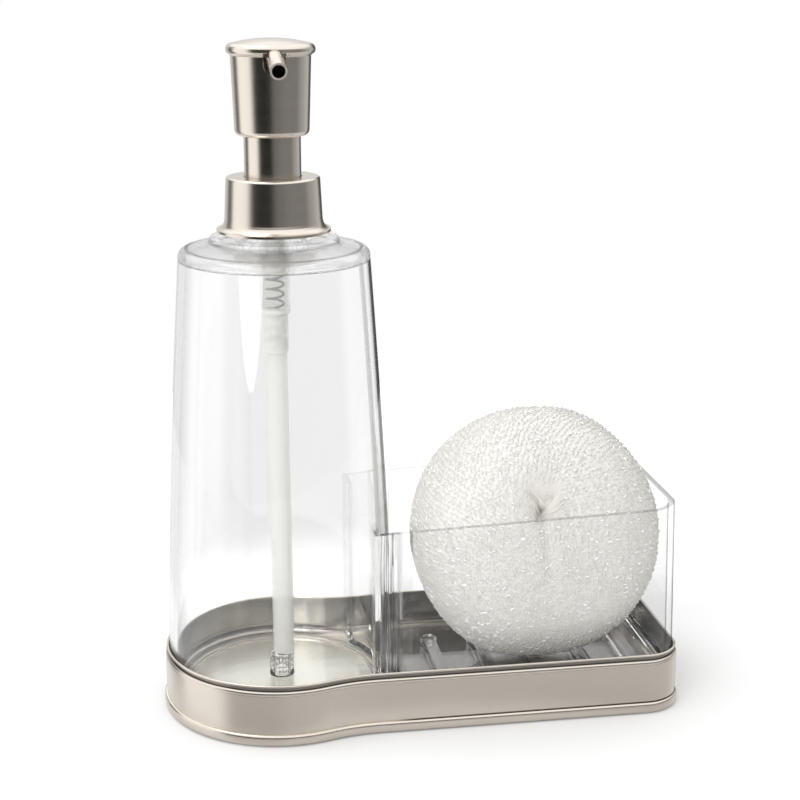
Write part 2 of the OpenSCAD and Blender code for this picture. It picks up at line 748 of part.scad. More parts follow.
module piston_stem() {
    color([0.93, 0.93, 0.92]) on_axis() rotate_extrude() polygon([
        [stem_bore_r, stem_foot_z], [stem_foot_r, stem_foot_z], [stem_foot_r, seal_low_z],
        [spigot_r, seal_low_z], [spigot_r, seal_top_z], [stem_r, seal_top_z], [stem_r, stem_top_z],
        [outlet_room_r, stem_top_z], [outlet_room_r, outlet_room_z + outlet_room_r - stem_bore_r],
        [stem_bore_r, outlet_room_z]
    ]);
}

module piston_seal() {
    color([0.85, 0.85, 0.83]) on_axis() translate([0, 0, seal_low_z]) difference() {
        cylinder(h = seal_h, r = cylinder_bore_r - slip);
        translate([0, 0, -cut]) cylinder(h = seal_h + 2 * cut, r = spigot_r);
    }
}

module outlet_ball() {
    color([0.8, 0.8, 0.82]) on_axis() translate([0, 0, outlet_ball_z]) sphere(outlet_ball_r);
}

// Rod along the nozzle's axis, from one distance from the pump axis to another
module nozzle_rod(r, from, to) {
    root_y = head_high_r;
    translate([0, -root_y, nozzle_z]) rotate([90 + nozzle_slope, 0, 0])
        translate([0, 0, (from - root_y) / cos(nozzle_slope)])
            cylinder(h = (to - from) / cos(nozzle_slope), r = r);
}

// Upright slot below the nozzle, with a round foot
module notch(w, depth, from, to) {
    translate([0, -from, head_top_z]) rotate([90, 0, 0]) linear_extrude(to - from) {
        translate([0, w / 2 - depth]) circle(w / 2);
        translate([-w / 2, w / 2 - depth]) square([w, depth - w / 2 + cut]);
    }
}

module head_shell() {
    color([0.62, 0.58, 0.53]) on_axis() difference() {
        rotate_extrude() polygon(concat(
            [[head_bore_r, head_low_z]],
            arc([head_low_r - head_edge_r, head_low_z + head_edge_r], head_edge_r, -90, 0),
            [[head_high_r, head_top_z], [core_r, head_top_z], [core_r, head_room_z],
                [head_bore_r, head_room_z]]
        ));
        notch(notch_w, notch_depth, core_r - block_t, cap_r);
    }
}

module head_cap() {
    lip_r = cap_r - cap_rim_h / 2;
    dome_r = (pow(cap_r - cap_rim_h / 2, 2) + pow(cap_dome_h, 2)) / (2 * cap_dome_h);
    dome_angle = asin((cap_r - cap_rim_h / 2) / dome_r);
    color([0.66, 0.62, 0.57]) on_axis() difference() {
        rotate_extrude() polygon(concat(
            [[cap_room_r, head_top_z], [head_high_r, head_top_z]],
            arc([lip_r, head_top_z + cap_rim_h / 2], cap_rim_h / 2, -30, 90),
            arc([0, cap_top_z - dome_r], dome_r, 90 - dome_angle, 90),
            [[0, cap_room_z], [cap_room_r, cap_room_z], [cap_room_r, head_top_z]]
        ));
        nozzle_rod(nozzle_r + slip, nozzle_inner, cap_r + cut);
        translate([-notch_w / 2, -cap_r - cut, head_top_z - cut])
            cube([notch_w, cap_r + cut - core_top_r, cut + cap_rim_h / 3]);
    }
}

module head_core() {
    channel_z = core_top_z - cylinder_wall - nozzle_bore_r;
    color([0.93, 0.93, 0.92]) on_axis() difference() {
        union() {
            translate([0, 0, core_low_z]) cylinder(h = head_top_z - core_low_z, r = core_r - rest_gap);
            translate([0, 0, core_low_z]) cylinder(h = core_top_z - core_low_z, r = core_top_r);
            translate([0, 0, core_boss_z]) cylinder(h = core_grip, r = core_boss_r);
        }
        translate([0, 0, core_boss_z - cut]) cylinder(h = stem_top_z - core_boss_z + cut, r = stem_r);
        translate([0, 0, core_low_z]) cylinder(h = channel_z - core_low_z, r = stem_bore_r);
        translate([0, 0, channel_z]) rotate([90, 0, 0]) cylinder(h = nozzle_inner, r = stem_bore_r);
        nozzle_rod(nozzle_r, nozzle_inner, cap_r + cut);
        notch(notch_w, notch_depth, core_r - block_t, cap_r);
    }
}

module nozzle_tube() {
    color([0.62, 0.58, 0.53]) on_axis() difference() {
        nozzle_rod(nozzle_r, nozzle_inner, nozzle_reach);
        nozzle_rod(nozzle_bore_r, nozzle_inner - cut, nozzle_reach + cut);
    }
}

module nozzle_block() {
    color([0.5, 0.47, 0.43]) on_axis() difference() {
        intersection() {
            notch(notch_w - 2 * slip, notch_depth - slip, core_r - block_t + slip, cap_r);
            translate([0, 0, head_low_z]) cylinder(h = head_shell_h, r = core_r);
        }
        nozzle_rod(nozzle_r, 0, cap_r + cut);
    }
}

// Half width of the scrubber's rounded plan at an angle
function plan_r(a) = pow(pow(abs(cos(a)), scrub_power) + pow(abs(sin(a)), scrub_power), -1 / scrub_power);

module scrubber() {
    points = concat(
        [for (row = [1 : scrub_rows - 1], i = [0 : scrub_rounds - 1])
            let (
                tilt = 180 * row / scrub_rows - 90,
                a = 360 * i / scrub_rounds,
                r = cos(tilt) * plan_r(a)
            )
            [scrub_x * r * cos(a), scrub_y * r * sin(a), scrub_z * sin(tilt)]],
        [[0, 0, -scrub_z], [0, 0, scrub_z]]
    );
    last = (scrub_rows - 2) * scrub_rounds;
    south = (scrub_rows - 1) * scrub_rounds;
    faces = concat(
        [for (row = [0 : scrub_rows - 3], i = [0 : scrub_rounds - 1])
            let (a = row * scrub_rounds, j = (i + 1) % scrub_rounds)
            [a + i, a + scrub_rounds + i, a + j]],
        [for (row = [0 : scrub_rows - 3], i = [0 : scrub_rounds - 1])
            let (a = row * scrub_rounds, j = (i + 1) % scrub_rounds)
            [a + j, a + scrub_rounds + i, a + scrub_rounds + j]],
        [for (i = [0 : scrub_rounds - 1]) [south, i, (i + 1) % scrub_rounds]],
        [for (i = [0 : scrub_rounds - 1]) [south + 1, last + (i + 1) % scrub_rounds, last + i]]
    );
    color([0.95, 0.95, 0.93]) on_axis() difference() {
        translate([scrub_mid_x, 0, scrub_mid_z]) polyhedron(points, faces);
        dimple_place() rotate([90, 0, 0]) difference() {
            translate([0, 0, -dimple_depth]) cylinder(h = dimple_depth + scrub_y, r = dimple_r);
            translate([0, 0, -dimple_depth - cut]) cylinder(h = dimple_depth + cut, r = tie_r - tie_cord_r - soft_gap);
        }
    }
}

// Middle of the dimple's mouth, on the scrubber's front
module dimple_place() {
    front_y = -scrub_y * sqrt(1 - pow(dimple_up / scrub_z, 2));
    translate([scrub_mid_x - dimple_aside, front_y, scrub_mid_z + dimple_up]) children();
}

module scrubber_tie() {
    color([0.95, 0.94, 0.9]) on_axis() dimple_place() translate([0, dimple_depth / 2, 0])
        rotate([90, 0, 0]) rotate_extrude() translate([tie_r, 0]) circle(tie_cord_r);
}

base_tray();
rubber_feet();
bottle_shell();
bottle_shoulder();
caddy_box();
collar_shell();
collar_nut();
neck_gasket();
pump_sleeve();
sleeve_guide();
pump_housing();
dip_tube();
inlet_ball();
pump_spring();
piston_stem();
piston_seal();
outlet_ball();
head_shell();
head_cap();
head_core();
nozzle_tube();
nozzle_block();
scrubber();
scrubber_tie();
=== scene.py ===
"""Soap pump caddy: finishes, soft pieces, stage and camera round the caddy's frame."""

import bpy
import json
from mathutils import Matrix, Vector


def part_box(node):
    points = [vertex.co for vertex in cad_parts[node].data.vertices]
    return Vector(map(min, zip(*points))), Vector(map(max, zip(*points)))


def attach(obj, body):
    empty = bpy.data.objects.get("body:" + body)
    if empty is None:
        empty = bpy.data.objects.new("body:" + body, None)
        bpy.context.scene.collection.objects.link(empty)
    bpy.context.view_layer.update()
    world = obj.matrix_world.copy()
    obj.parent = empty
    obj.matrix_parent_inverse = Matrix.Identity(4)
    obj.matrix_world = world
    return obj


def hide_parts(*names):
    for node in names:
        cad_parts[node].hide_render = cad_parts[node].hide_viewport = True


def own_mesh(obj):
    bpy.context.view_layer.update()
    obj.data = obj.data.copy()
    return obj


bl_info = {
    "name": "Soap pump caddy",
    "version": (1, 0, 0),
    "blender": (4, 5, 0),
    "location": "3D View > Sidebar > Caddy",
    "description": "Dresses the soap pump caddy and sets its stage",
    "category": "Object",
}

import json
import math

import bmesh
import bpy
import numpy as np
from bpy.props import FloatProperty, FloatVectorProperty, IntProperty, PointerProperty
from mathutils import Vector

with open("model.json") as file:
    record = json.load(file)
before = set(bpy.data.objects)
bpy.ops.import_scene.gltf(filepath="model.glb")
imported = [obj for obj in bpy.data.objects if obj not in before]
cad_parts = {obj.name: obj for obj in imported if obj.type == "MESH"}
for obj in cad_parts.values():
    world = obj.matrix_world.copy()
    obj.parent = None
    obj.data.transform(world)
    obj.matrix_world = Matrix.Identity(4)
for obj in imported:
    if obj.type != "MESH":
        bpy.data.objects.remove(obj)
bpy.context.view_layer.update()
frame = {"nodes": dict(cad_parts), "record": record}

MM = 0.001
# Way in which the camera looks, from above
TURN = math.radians(9.49)
# Middle of the collar, which the pump turns about, seen from above
AXIS = tuple(round(sum(corner[way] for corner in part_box("collar_shell")) / 2, 4) for way in (0, 1))


def span(node):
    """Lowest and highest corner of a node, in millimetres about the pump's axis"""
    return [
        [round((value - middle) / MM, 2) for value, middle in zip(corner, (*AXIS, 0))]
        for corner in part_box(node)
    ]


TRAY, BOTTLE, SHOULDER, BOX, PUMP = (
    span(node) for node in ("base_tray", "bottle_shell", "bottle_shoulder", "caddy_box", "pump_housing")
)
# Heights of the tray's lip and floor, of the ribs in the box, and of the seam on top of the bottle
LIP_Z, FLOOR_Z, RIBS_Z, SEAM_Z = TRAY[1][2], 5.8, 11.6, BOTTLE[1][2]
# Near and far end of the box
BOX_NEAR, BOX_END = BOX[0][0], BOX[1][0]
# Radius of the shoulder's fold, and of the ring round the neck
FOLD_R, RING_R = 28.45, 21.0
# The pump body is milky below this height, and clear where its spring shows
WINDOW_Z = PUMP[0][2] + 13.5


# ---------------------------------------------------------------- sizes and colours


def length(name, text, default):
    """A length in millimetres that the panel shows"""
    return FloatProperty(name=name, description=text, default=default, min=0, precision=3)


def colour(name, text, default):
    """A colour that the panel shows"""
    return FloatVectorProperty(
        name=name, description=text, default=default, size=3, min=0, max=1, subtype="COLOR"
    )


class CaddyColours(bpy.types.PropertyGroup):
    """Colours of the caddy's finishes"""

    nickel: colour("Nickel", "Satin metal of tray, collar and head", (0.66, 0.605, 0.54))
    clear: colour("Clear plastic", "Bottle, shoulder and box", (0.99, 0.99, 0.99))
    milky: colour("Milky plastic", "Dip tube and pump body", (0.9, 0.9, 0.88))
    white: colour("White plastic", "Nut, guide, core and stem", (0.84, 0.84, 0.83))
    seal: colour("Seal rubber", "Gasket and piston seal", (0.62, 0.62, 0.6))
    foot: colour("Foot rubber", "Feet below the tray", (0.09, 0.09, 0.09))
    steel: colour("Bright steel", "Spring and valve balls", (0.72, 0.72, 0.74))
    nylon: colour("Nylon mesh", "Strands of the scrubber", (0.87, 0.86, 0.835))
    # Lighter than the nylon: a painted highlight on the glossy loops, besides their real gloss
    gloss: colour("Glossy loops", "Loops that catch the light", (0.97, 0.97, 0.96))
    cream: colour("Cord", "Strands at the scrubber's knot", (0.85, 0.825, 0.785))
    floor: colour("Floor", "Plain studio floor", (0.66, 0.66, 0.66))


class CaddySizes(bpy.types.PropertyGroup):
    """Sizes of the caddy's dressed pieces, lengths in millimetres"""

    bead: length("Bead", "How far the bead at the tray's foot stands out", 0.8)
    wall: length("Bottle wall", "Thickness of the bottle's side", 2.5)
    wire: length("Spring wire", "Thickness of the spring's wire", 0.8)
    stitch: length("Stitch", "Length of one stitch of the mesh", 1.7)
    row: length("Row", "Distance between two rows of stitches", 1.6)
    strand: length("Strand", "Thickness of a mesh strand", 0.42)
    cord: length("Cord", "Thickness of a strand at the knot", 0.26)
    curls: IntProperty(name="Curls", description="Turns of the pump's spring", default=6, min=3)
    fan: IntProperty(name="Fan", description="Strands that run into the gathered middle", default=64, min=3)
    glints: IntProperty(name="Glints", description="Loops that stand out of the mesh", default=1100, min=0)
    lens: FloatProperty(name="Lens", description="Focal length of the camera", default=72.82, unit="CAMERA")


# ---------------------------------------------------------------- shader maths


class Field:
    """A socket that takes part in sums and products"""

    def __init__(self, look, socket):
        self.look = look
        self.socket = socket

    def math(self, operation, *others):
        return self.look.node("ShaderNodeMath", {"operation": operation}, self, *others)

    def __add__(self, other):
        return self.math("ADD", other)

    def __radd__(self, other):
        return self.look.node("ShaderNodeMath", {"operation": "ADD"}, other, self)

    def __sub__(self, other):
        return self.math("SUBTRACT", other)

    def __rsub__(self, other):
        return self.look.node("ShaderNodeMath", {"operation": "SUBTRACT"}, other, self)

    def __mul__(self, other):
        return self.math("MULTIPLY", other)

    def __rmul__(self, other):
        return self.look.node("ShaderNodeMath", {"operation": "MULTIPLY"}, other, self)

    def __truediv__(self, other):
        return self.math("DIVIDE", other)

    def __pow__(self, other):
        return self.math("POWER", other)

    def between(self, low, high):
        """0 up to low, 1 from high, and a smooth rise from one to the other"""
        return self.look.node(
            "ShaderNodeMapRange", {"interpolation_type": "SMOOTHSTEP"}, self, low, high, 0, 1
        )

    def band(self, low, high, soft):
        """1 between low and high, with soft edges outside them"""
        return self.between(low - soft, low) * (1 - self.between(high, high + soft))


class Look:
    """The node tree of one material or world"""

    def __init__(self, tree):
        self.tree = tree
        tree.nodes.clear()

    def set(self, socket, value):
        if isinstance(value, Field):
            self.tree.links.new(value.socket, socket)
        elif isinstance(value, (tuple, list)) and socket.type == "RGBA" and len(value) == 3:
            socket.default_value = (*value, 1)
        else:
            socket.default_value = value

    def node(self, kind, settings=None, *values, out=0, **named):
        """One node, with its settings first and then the values or links of its sockets"""
        made = self.tree.nodes.new(kind)
        for key, value in (settings or {}).items():
            if key == "stops":
                ramp = made.color_ramp
                while len(ramp.elements) < len(value):
                    ramp.elements.new(1)
                for element, (place, shade) in zip(ramp.elements, value):
                    element.position = place
                    element.color = (shade, shade, shade, 1)
            elif key == "ramp":
                made.color_ramp.interpolation = value
            else:
                setattr(made, key, value)
        for index, value in enumerate(values):
            self.set(made.inputs[index], value)
        for key, value in named.items():
            self.set(made.inputs[key.replace("_", " ")], value)
        return Field(self, made.outputs[out]) if made.outputs else made

    def place(self):
        """The point on the object, in metres"""
        return self.node("ShaderNodeTexCoord", out="Object")

    def parts(self, vector):
        """The three parts of a vector"""
        split = self.node("ShaderNodeSeparateXYZ", None, vector)
        outputs = split.socket.node.outputs
        return [Field(self, outputs[axis]) for axis in "XYZ"]

    def site(self):
        """The parts of the point on the object, in millimetres about the pump's axis"""
        moved = self.node("ShaderNodeVectorMath", {"operation": "SUBTRACT"}, self.place(), (*AXIS, 0))
        return self.parts(self.node("ShaderNodeVectorMath", {"operation": "SCALE"}, moved, Scale=1 / MM))

    def around_axis(self):
        """Angle round the pump's axis, and distance from it and height in millimetres"""
        x, y, z = self.site()
        return y.math("ARCTAN2", x), (x * x + y * y).math("SQRT"), z

    def facing(self):
        """The three parts of the surface's outward way"""
        return self.parts(self.node("ShaderNodeNewGeometry", out="Normal"))

    def vector(self, x, y, z):
        return self.node("ShaderNodeCombineXYZ", None, x, y, z)

    def noise(self, vector, scale, detail=2.0, rough=0.5):
        return self.node(
            "ShaderNodeTexNoise", None, Vector=vector, Scale=scale, Detail=detail, Roughness=rough
        )

    def mix(self, factor, a, b):
        """Colour a, turning to b"""
        made = self.tree.nodes.new("ShaderNodeMix")
        made.data_type = "RGBA"
        for index, value in ((0, factor), (6, a), (7, b)):
            self.set(made.inputs[index], value)
        return Field(self, made.outputs[2])

    def mix_shader(self, factor, a, b):
        """Shader a, turning to b"""
        return self.node("ShaderNodeMixShader", None, factor, a, b)

    def see_through(self, share):
        """Lets this share of the light behind pass"""
        tone = (share, share, share) if isinstance(share, float) else share
        return self.node("ShaderNodeBsdfTransparent", None, tone)

    def glow(self, strength):
        return self.node("ShaderNodeEmission", None, (1, 1, 1), strength)

    def light_path(self, name):
        return self.node("ShaderNodeLightPath", out=name)

    def bump(self, height, strength, distance):
        return self.node("ShaderNodeBump", None, Strength=strength, Distance=distance, Height=height)

    def finish(self, shader):
        self.node("ShaderNodeOutputMaterial", None, Surface=shader)


def material(name):
    made = bpy.data.materials.new(name)
    made.use_nodes = True
    return made, Look(made.node_tree)


# ---------------------------------------------------------------- finishes


def satin_metal(name, turned, rough=0.23, spots=None):
    """Brushed nickel, turned on a lathe or brushed lengthwise; spots gives its painted shade and light as a
    factor on its colour, and added roughness
    """
    made, look = material(name)
    tint = bpy.context.scene.caddy_colours.nickel
    if turned:
        angle, radius, z = look.around_axis()
        lines = look.vector(angle * 0.35, radius * 0.9, z * 2.6)
    else:
        x, y, z = look.parts(look.place())
        lines = look.vector(x * 22, y * 1300, z * 2200)
    grain = look.noise(lines, 1.0, 3.0, 0.6)
    cloud = look.noise(look.place(), 45.0, 2.0)
    wear = look.noise(look.place(), 260.0, 4.0)
    shade = (grain - 0.5) * 0.08 + (cloud - 0.5) * 0.06 + 1
    # Painted shade and light from spots, as a factor on the nickel's colour, and added roughness
    painted_shading, dull = spots(look) if spots else (1, 0)
    shader = look.node(
        "ShaderNodeBsdfPrincipled",
        None,
        Base_Color=look.mix(shade * painted_shading * 0.5, (0, 0, 0), tuple(2 * c for c in tint)),
        Metallic=1.0,
        Roughness=(grain - 0.5) * 0.1 + (wear - 0.5) * 0.04 + rough + dull,
        Normal=look.bump(grain, 0.06, 0.0001),
    )
    look.finish(shader)
    return made


def tray_painted_light_and_shade(look):
    """Painted light and shade of the tray, and its added roughness: painted shade in the groove below its lip
    and on its floor in the box, painted light on its duller floor below the bottle
    """
    x, y, z = look.site()
    nx, ny, nz = look.facing()
    spine = x.math("MAXIMUM", 0).math("MINIMUM", 120)
    outward = (nx * (x - spine) + ny * y).between(0, 4)
    # Painted shade in the recess below the lip, on the tray's outward faces
    groove = outward * z.band(LIP_Z - 2.0, LIP_Z - 0.9, 0.3)
    floor = (1 - z.between(FLOOR_Z + 0.4, FLOOR_Z + 0.8)) * nz.between(0.85, 0.95)
    in_box = x.between(BOX_NEAR + 4.2, BOX_NEAR + 14.2)
    painted_light_below_bottle = floor * (1 - in_box)
    # Colour factor: painted shade in the groove and on the box's floor, painted light below the bottle, where
    # roughness is added too
    return 0.93 - groove * 0.57 - floor * in_box * 0.7 + painted_light_below_bottle * 0.7, painted_light_below_bottle * 0.2


def clear_plastic(name, solid, streaks=0.0, lines=None, round_wall=False):
    """Clear moulded plastic; solid is the share that bends light, and lines says where painted shade makes it
    darker
    """
    made, look = material(name)
    tint = tuple(bpy.context.scene.caddy_colours.clear)
    edge = look.node("ShaderNodeLayerWeight", None, 0.5, out="Facing")
    dark = lines(look) if lines else 0
    bent = bent_light(look, tint, edge, dark, streaks, round_wall)
    passing = look.see_through(0.99)
    share = solid(look) if callable(solid) else solid
    shown = look.mix_shader(share, thin_wall(look, edge, dark, passing), bent)
    soft = look.light_path("Is Shadow Ray").math("MAXIMUM", look.light_path("Is Diffuse Ray"))
    look.finish(look.mix_shader(soft, shown, passing))
    return made


def bent_light(look, tint, edge, dark, streaks, round_wall):
    """Thick clear plastic, a little wavy, with painted grey shade at its edges and on the given dark lines"""
    x, y, z = look.parts(look.place())
    waves = look.noise(look.vector(x * 38, y * 38, z * 38), 1.0, 1.0) * 0.02
    if streaks:
        flow = look.noise(look.vector(x * 560, y * 560, z * 18), 1.0, 2.0)
        waves = waves + flow * front_web(look) * streaks
    marks = look.noise(look.place(), 420.0, 3.0)
    # Painted shade: grey towards grazing edges and on the dark lines
    depth = look.mix(((edge ** 7) * 0.9 + dark).math("MINIMUM", 1), tint, (0.3, 0.3, 0.3))
    # Painted shade on the bottle's round wall, laid out by the side the camera sees
    if round_wall:
        depth = painted_side_shades(look, depth, (edge ** 3 * 2).math("MINIMUM", 1))
    return look.node(
        "ShaderNodeBsdfPrincipled",
        None,
        Base_Color=depth,
        Roughness=0.012 + (marks - 0.5) * 0.02,
        IOR=1.49,
        Transmission_Weight=1.0,
        Normal=look.bump(waves, 1.0, 0.0003),
    )


def thin_wall(look, edge, dark, passing):
    """Clear wall that light passes straight, with painted grey shade at its edges, a darker painted line at
    the box's end, a painted grey rim and a faint gloss
    """
    x, y, z = look.site()
    at_end = x.between(BOX_END - 8.45, BOX_END - 3.45)
    # Painted shade: grey at grazing edges, stronger at the box's end, with a darker painted line at its end
    # corner
    painted_shading = (edge ** 6) * (at_end * 0.35 + 0.35) + edge.between(0.7, 0.87) * at_end * 0.8 + dark
    wall = look.mix_shader(painted_shading.math("MINIMUM", 1), passing, look.see_through(0.52))
    # Painted shade: a grey rim on upward faces at the rim's height, fainter at the near end and darker at the
    # far end
    near_rim = z.between(60, 64) * (0.25 + x.between(BOX_NEAR + 12.2, BOX_NEAR + 16.2) * 0.75)
    rim = look.facing()[2].between(0.9, 0.97) * near_rim
    rim = rim * (x.between(BOX_END - 4.45, BOX_END - 2.45) * 0.45 + 0.55)
    wall = look.mix_shader(rim, wall, look.see_through(0.46))
    mirror = look.node("ShaderNodeFresnel", None, 1.4).math("MINIMUM", 0.06)
    return look.mix_shader(mirror, wall, look.node("ShaderNodeBsdfGlossy", None, (1, 1, 1), 0.03))


def painted_side_shades(look, depth, edge):
    """Painted shade on a round clear wall, by the side the camera looks from: a pale grey strip with a darker
    line at the left, a faint grey middle, a dark right edge
    """
    x, y, z = look.site()
    radius = look.around_axis()[1]
    on_wall = radius.between(26, 28)
    edge = edge * on_wall
    aside = (x * math.cos(TURN) - y * math.sin(TURN)) / radius
    middle = aside.between(-0.5, -0.4) * (1 - aside.between(0.66, 0.78))
    depth = look.mix(middle * on_wall, depth, (0.94, 0.94, 0.94))
    depth = look.mix((1 - aside.between(-0.86, -0.78)) * edge, depth, (0.82, 0.82, 0.82))
    depth = look.mix(aside.band(-0.912, -0.9, 0.013) * edge * 0.5, depth, (0.4, 0.4, 0.4))
    return look.mix(aside.between(0.965, 0.978) * edge, depth, (0.01, 0.01, 0.01))


def front_web(look):
    """The box's front web to the bottle, above the floor"""
    x, y, z = look.site()
    return (1 - x.between(BOX_NEAR + 6.7, BOX_NEAR + 9.7)) * (1 - y.between(-30, -26)) * z.between(10.5, 12.5)


def solid_box(look):
    """Where the box is thick enough to bend light: at its front web and in its ribs"""
    ribs = 1 - look.site()[2].between(RIBS_Z, RIBS_Z + 0.4)
    return front_web(look).math("MAXIMUM", ribs)


def box_painted_streaks(look):
    """Painted shade: dark upright streaks in the box's front web"""
    x, y, z = look.parts(look.place())
    flow = look.noise(look.vector(x * 520, y * 520, z * 16), 1.0, 2.0)
    return flow.between(0.54, 0.6) * front_web(look) * 0.3


def shoulder_painted_shade(look):
    """Painted shade at the fold between the shoulder's cone and its rounded edge, and on the flank of the
    neck's ring
    """
    radius, z = look.around_axis()[1:]
    fold = radius.between(FOLD_R - 0.85, FOLD_R - 0.35) * (1 - radius.between(FOLD_R + 0.45, FOLD_R + 0.85))
    ring = radius.band(RING_R - 0.2, RING_R + 0.3, 0.2) * (1 - z.between(SEAM_Z + 6.1, SEAM_Z + 6.4))
    return fold * z.between(SEAM_Z + 2.5, SEAM_Z + 3.0) * 0.85 + ring * 0.6


def spring_window(look):
    """Share of light that passes the pump body, more where its spring shows"""
    return look.site()[2].between(WINDOW_Z, WINDOW_Z + 2.5) * 0.38 + 0.5


def knot_cream_and_shade(look):
    """Cream tone of the stretched mesh above the scrubber's knot, there also painted darker than the nylon as
    shade
    """
    x, y, z = look.site()
    x, z = x - Pouf.knot[0], z - Pouf.knot[1] - 5
    return (1 - (x * x * 1.2 + z * z).math("SQRT").between(5, 14)) * (1 - y.between(-12, -8)) * 0.7


def plastic(name, tint, rough=0.4, glow=0.0, clear=0.0, skin_size=900.0, bump=0.08, second=None):
    """
    Moulded plastic or rubber with a fine skin; glow lets light seep through, clear lets the eye through,
    and second gives another colour and where it is
    """
    made, look = material(name)
    skin = look.noise(look.place(), skin_size, 3.0)
    flow = look.noise(look.place(), 60.0, 2.0)
    shade = (flow - 0.5) * 0.08 + (skin - 0.5) * 0.08 + 1
    tone = tuple(2 * c for c in tint)
    if second:
        tone = look.mix(second[0](look), tone, second[1])
    shader = look.node(
        "ShaderNodeBsdfPrincipled",
        None,
        Base_Color=look.mix(shade * 0.5, (0, 0, 0), tone),
        Roughness=rough + (skin - 0.5) * 0.15,
        IOR=1.5,
        Normal=look.bump(skin, bump, 0.0002),
    )
    if glow:
        shader = look.mix_shader(glow, shader, look.node("ShaderNodeBsdfTranslucent", None, tuple(tint)))
    if clear:
        share = clear(look) if callable(clear) else clear
        shader = look.mix_shader(share, shader, look.see_through((0.94, 0.94, 0.93)))
    look.finish(shader)
    return made


def steel(name, tint):
    """Drawn steel"""
    made, look = material(name)
    drawn = look.noise(look.place(), 1500.0, 2.0)
    shader = look.node(
        "ShaderNodeBsdfPrincipled",
        None,
        Base_Color=look.mix(drawn, tuple(0.8 * c for c in tint), tuple(tint)),
        Metallic=1.0,
        Roughness=0.16 + drawn * 0.12,
    )
    look.finish(shader)
    return made


# ---------------------------------------------------------------- mesh helpers


def add_piece(name, verts, faces, looks, body, slot, *nodes, sharp=35.0):
    """A mesh piece in millimetres about the pump's axis, riding on a body"""
    mesh = bpy.data.meshes.new(name)
    mesh.from_pydata([(AXIS[0] + x * MM, AXIS[1] + y * MM, z * MM) for x, y, z in verts], [], faces)
    mesh.update()
    made = bpy.data.objects.new(name, mesh)
    bpy.context.scene.collection.objects.link(made)
    mesh.materials.append(looks)
    mesh.polygons.foreach_set("use_smooth", [True] * len(mesh.polygons))
    mesh.set_sharp_from_angle(angle=math.radians(sharp))
    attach(made, body)
    if nodes:
        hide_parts(*nodes)
    return made


def dress(look, *nodes):
    """Gives nodes of the frame another finish"""
    for node in nodes:
        made = frame["nodes"][node]
        if not made.material_slots:
            made.data.materials.append(look)
        for place in made.material_slots:
            place.link = "OBJECT"
            place.material = look


def arc(mid_r, mid_z, r, start, end, steps=8):
    """Points of a round stretch of an outline, angles in degrees"""
    turns = [math.radians(start + (end - start) * i / steps) for i in range(steps + 1)]
    return [(mid_r + r * math.cos(a), mid_z + r * math.sin(a)) for a in turns]


def roll(mid, half_w, half_h, start, end, steps):
    """Points of a rolled stretch of the tray's outline, from 0 degrees outward to 90 upward"""
    turns = [math.radians(start + (end - start) * i / steps) for i in range(steps + 1)]
    return [(mid[0] - half_w * math.cos(a), mid[1] + half_h * math.sin(a)) for a in turns]


def bend(a, b, c, t):
    """Point of a curve that bends once"""
    return (1 - t) ** 2 * a + 2 * t * (1 - t) * b + t * t * c


def turned(outline, sides, ripple=None):
    """Verts and faces of a closed outline turned round the axis; points at radius 0 meet in one vertex"""
    verts, faces, rings = [], [], []
    for index, (r, z) in enumerate(outline):
        if r < 1e-6:
            rings.append([len(verts)])
            verts.append((0, 0, z))
            continue
        ring = []
        for k in range(sides):
            angle = 2 * math.pi * k / sides
            rr = r + (ripple(index, k) if ripple else 0)
            ring.append(len(verts))
            verts.append((rr * math.cos(angle), rr * math.sin(angle), z))
        rings.append(ring)
    for a, b in zip(rings, rings[1:] + rings[:1]):
        for k in range(sides):
            n = (k + 1) % sides
            if len(a) == 1 and len(b) == 1:
                continue
            if len(a) == 1:
                faces.append((a[0], b[n], b[k]))
            elif len(b) == 1:
                faces.append((a[k], a[n], b[0]))
            else:
                faces.append((a[k], a[n], b[n], b[k]))
    return verts, faces


def swept(path, outline):
    """Verts and faces of an outline of (inset, height) swept along a closed path, closed flat at both ends"""
    verts = [(x - nx * inset, y - ny * inset, z) for (x, y), (nx, ny) in path for inset, z in outline]
    faces, count, total = [], len(outline), len(path)
    for i in range(total):
        j = (i + 1) % total
        for k in range(count - 1):
            faces.append((i * count + k, j * count + k, j * count + k + 1, i * count + k + 1))
    faces.append([i * count + count - 1 for i in range(total)])
    faces.append([i * count for i in reversed(range(total))])
    return verts, faces


def unit(vectors):
    return vectors / np.linalg.norm(vectors, axis=-1, keepdims=True)


def tubes(paths, normals, radius, sides=3, closed=True):
    """Verts and faces of round strands along some paths"""
    verts, faces, first = [], [], 0
    for path, normal in zip(paths, normals):
        along = np.roll(path, -1, 0) - np.roll(path, 1, 0)
        if not closed:
            along[0], along[-1] = path[1] - path[0], path[-1] - path[-2]
        across = unit(np.cross(along, normal))
        up = unit(np.cross(across, along))
        turns = [2 * math.pi * k / sides for k in range(sides)]
        rings = [path + radius * (math.cos(a) * across + math.sin(a) * up) for a in turns]
        verts.append(np.stack(rings, 1).reshape(-1, 3))
        count = len(path)
        for i in range(count if closed else count - 1):
            a, b = first + i * sides, first + (i + 1) % count * sides
            faces += [(a + k, b + k, b + (k + 1) % sides, a + (k + 1) % sides) for k in range(sides)]
        if not closed:
            faces.append(tuple(range(first, first + sides)))
            faces.append(tuple(reversed(range(first + (count - 1) * sides, first + count * sides))))
        first += count * sides
    return np.concatenate(verts).tolist(), faces


# ---------------------------------------------------------------- pieces


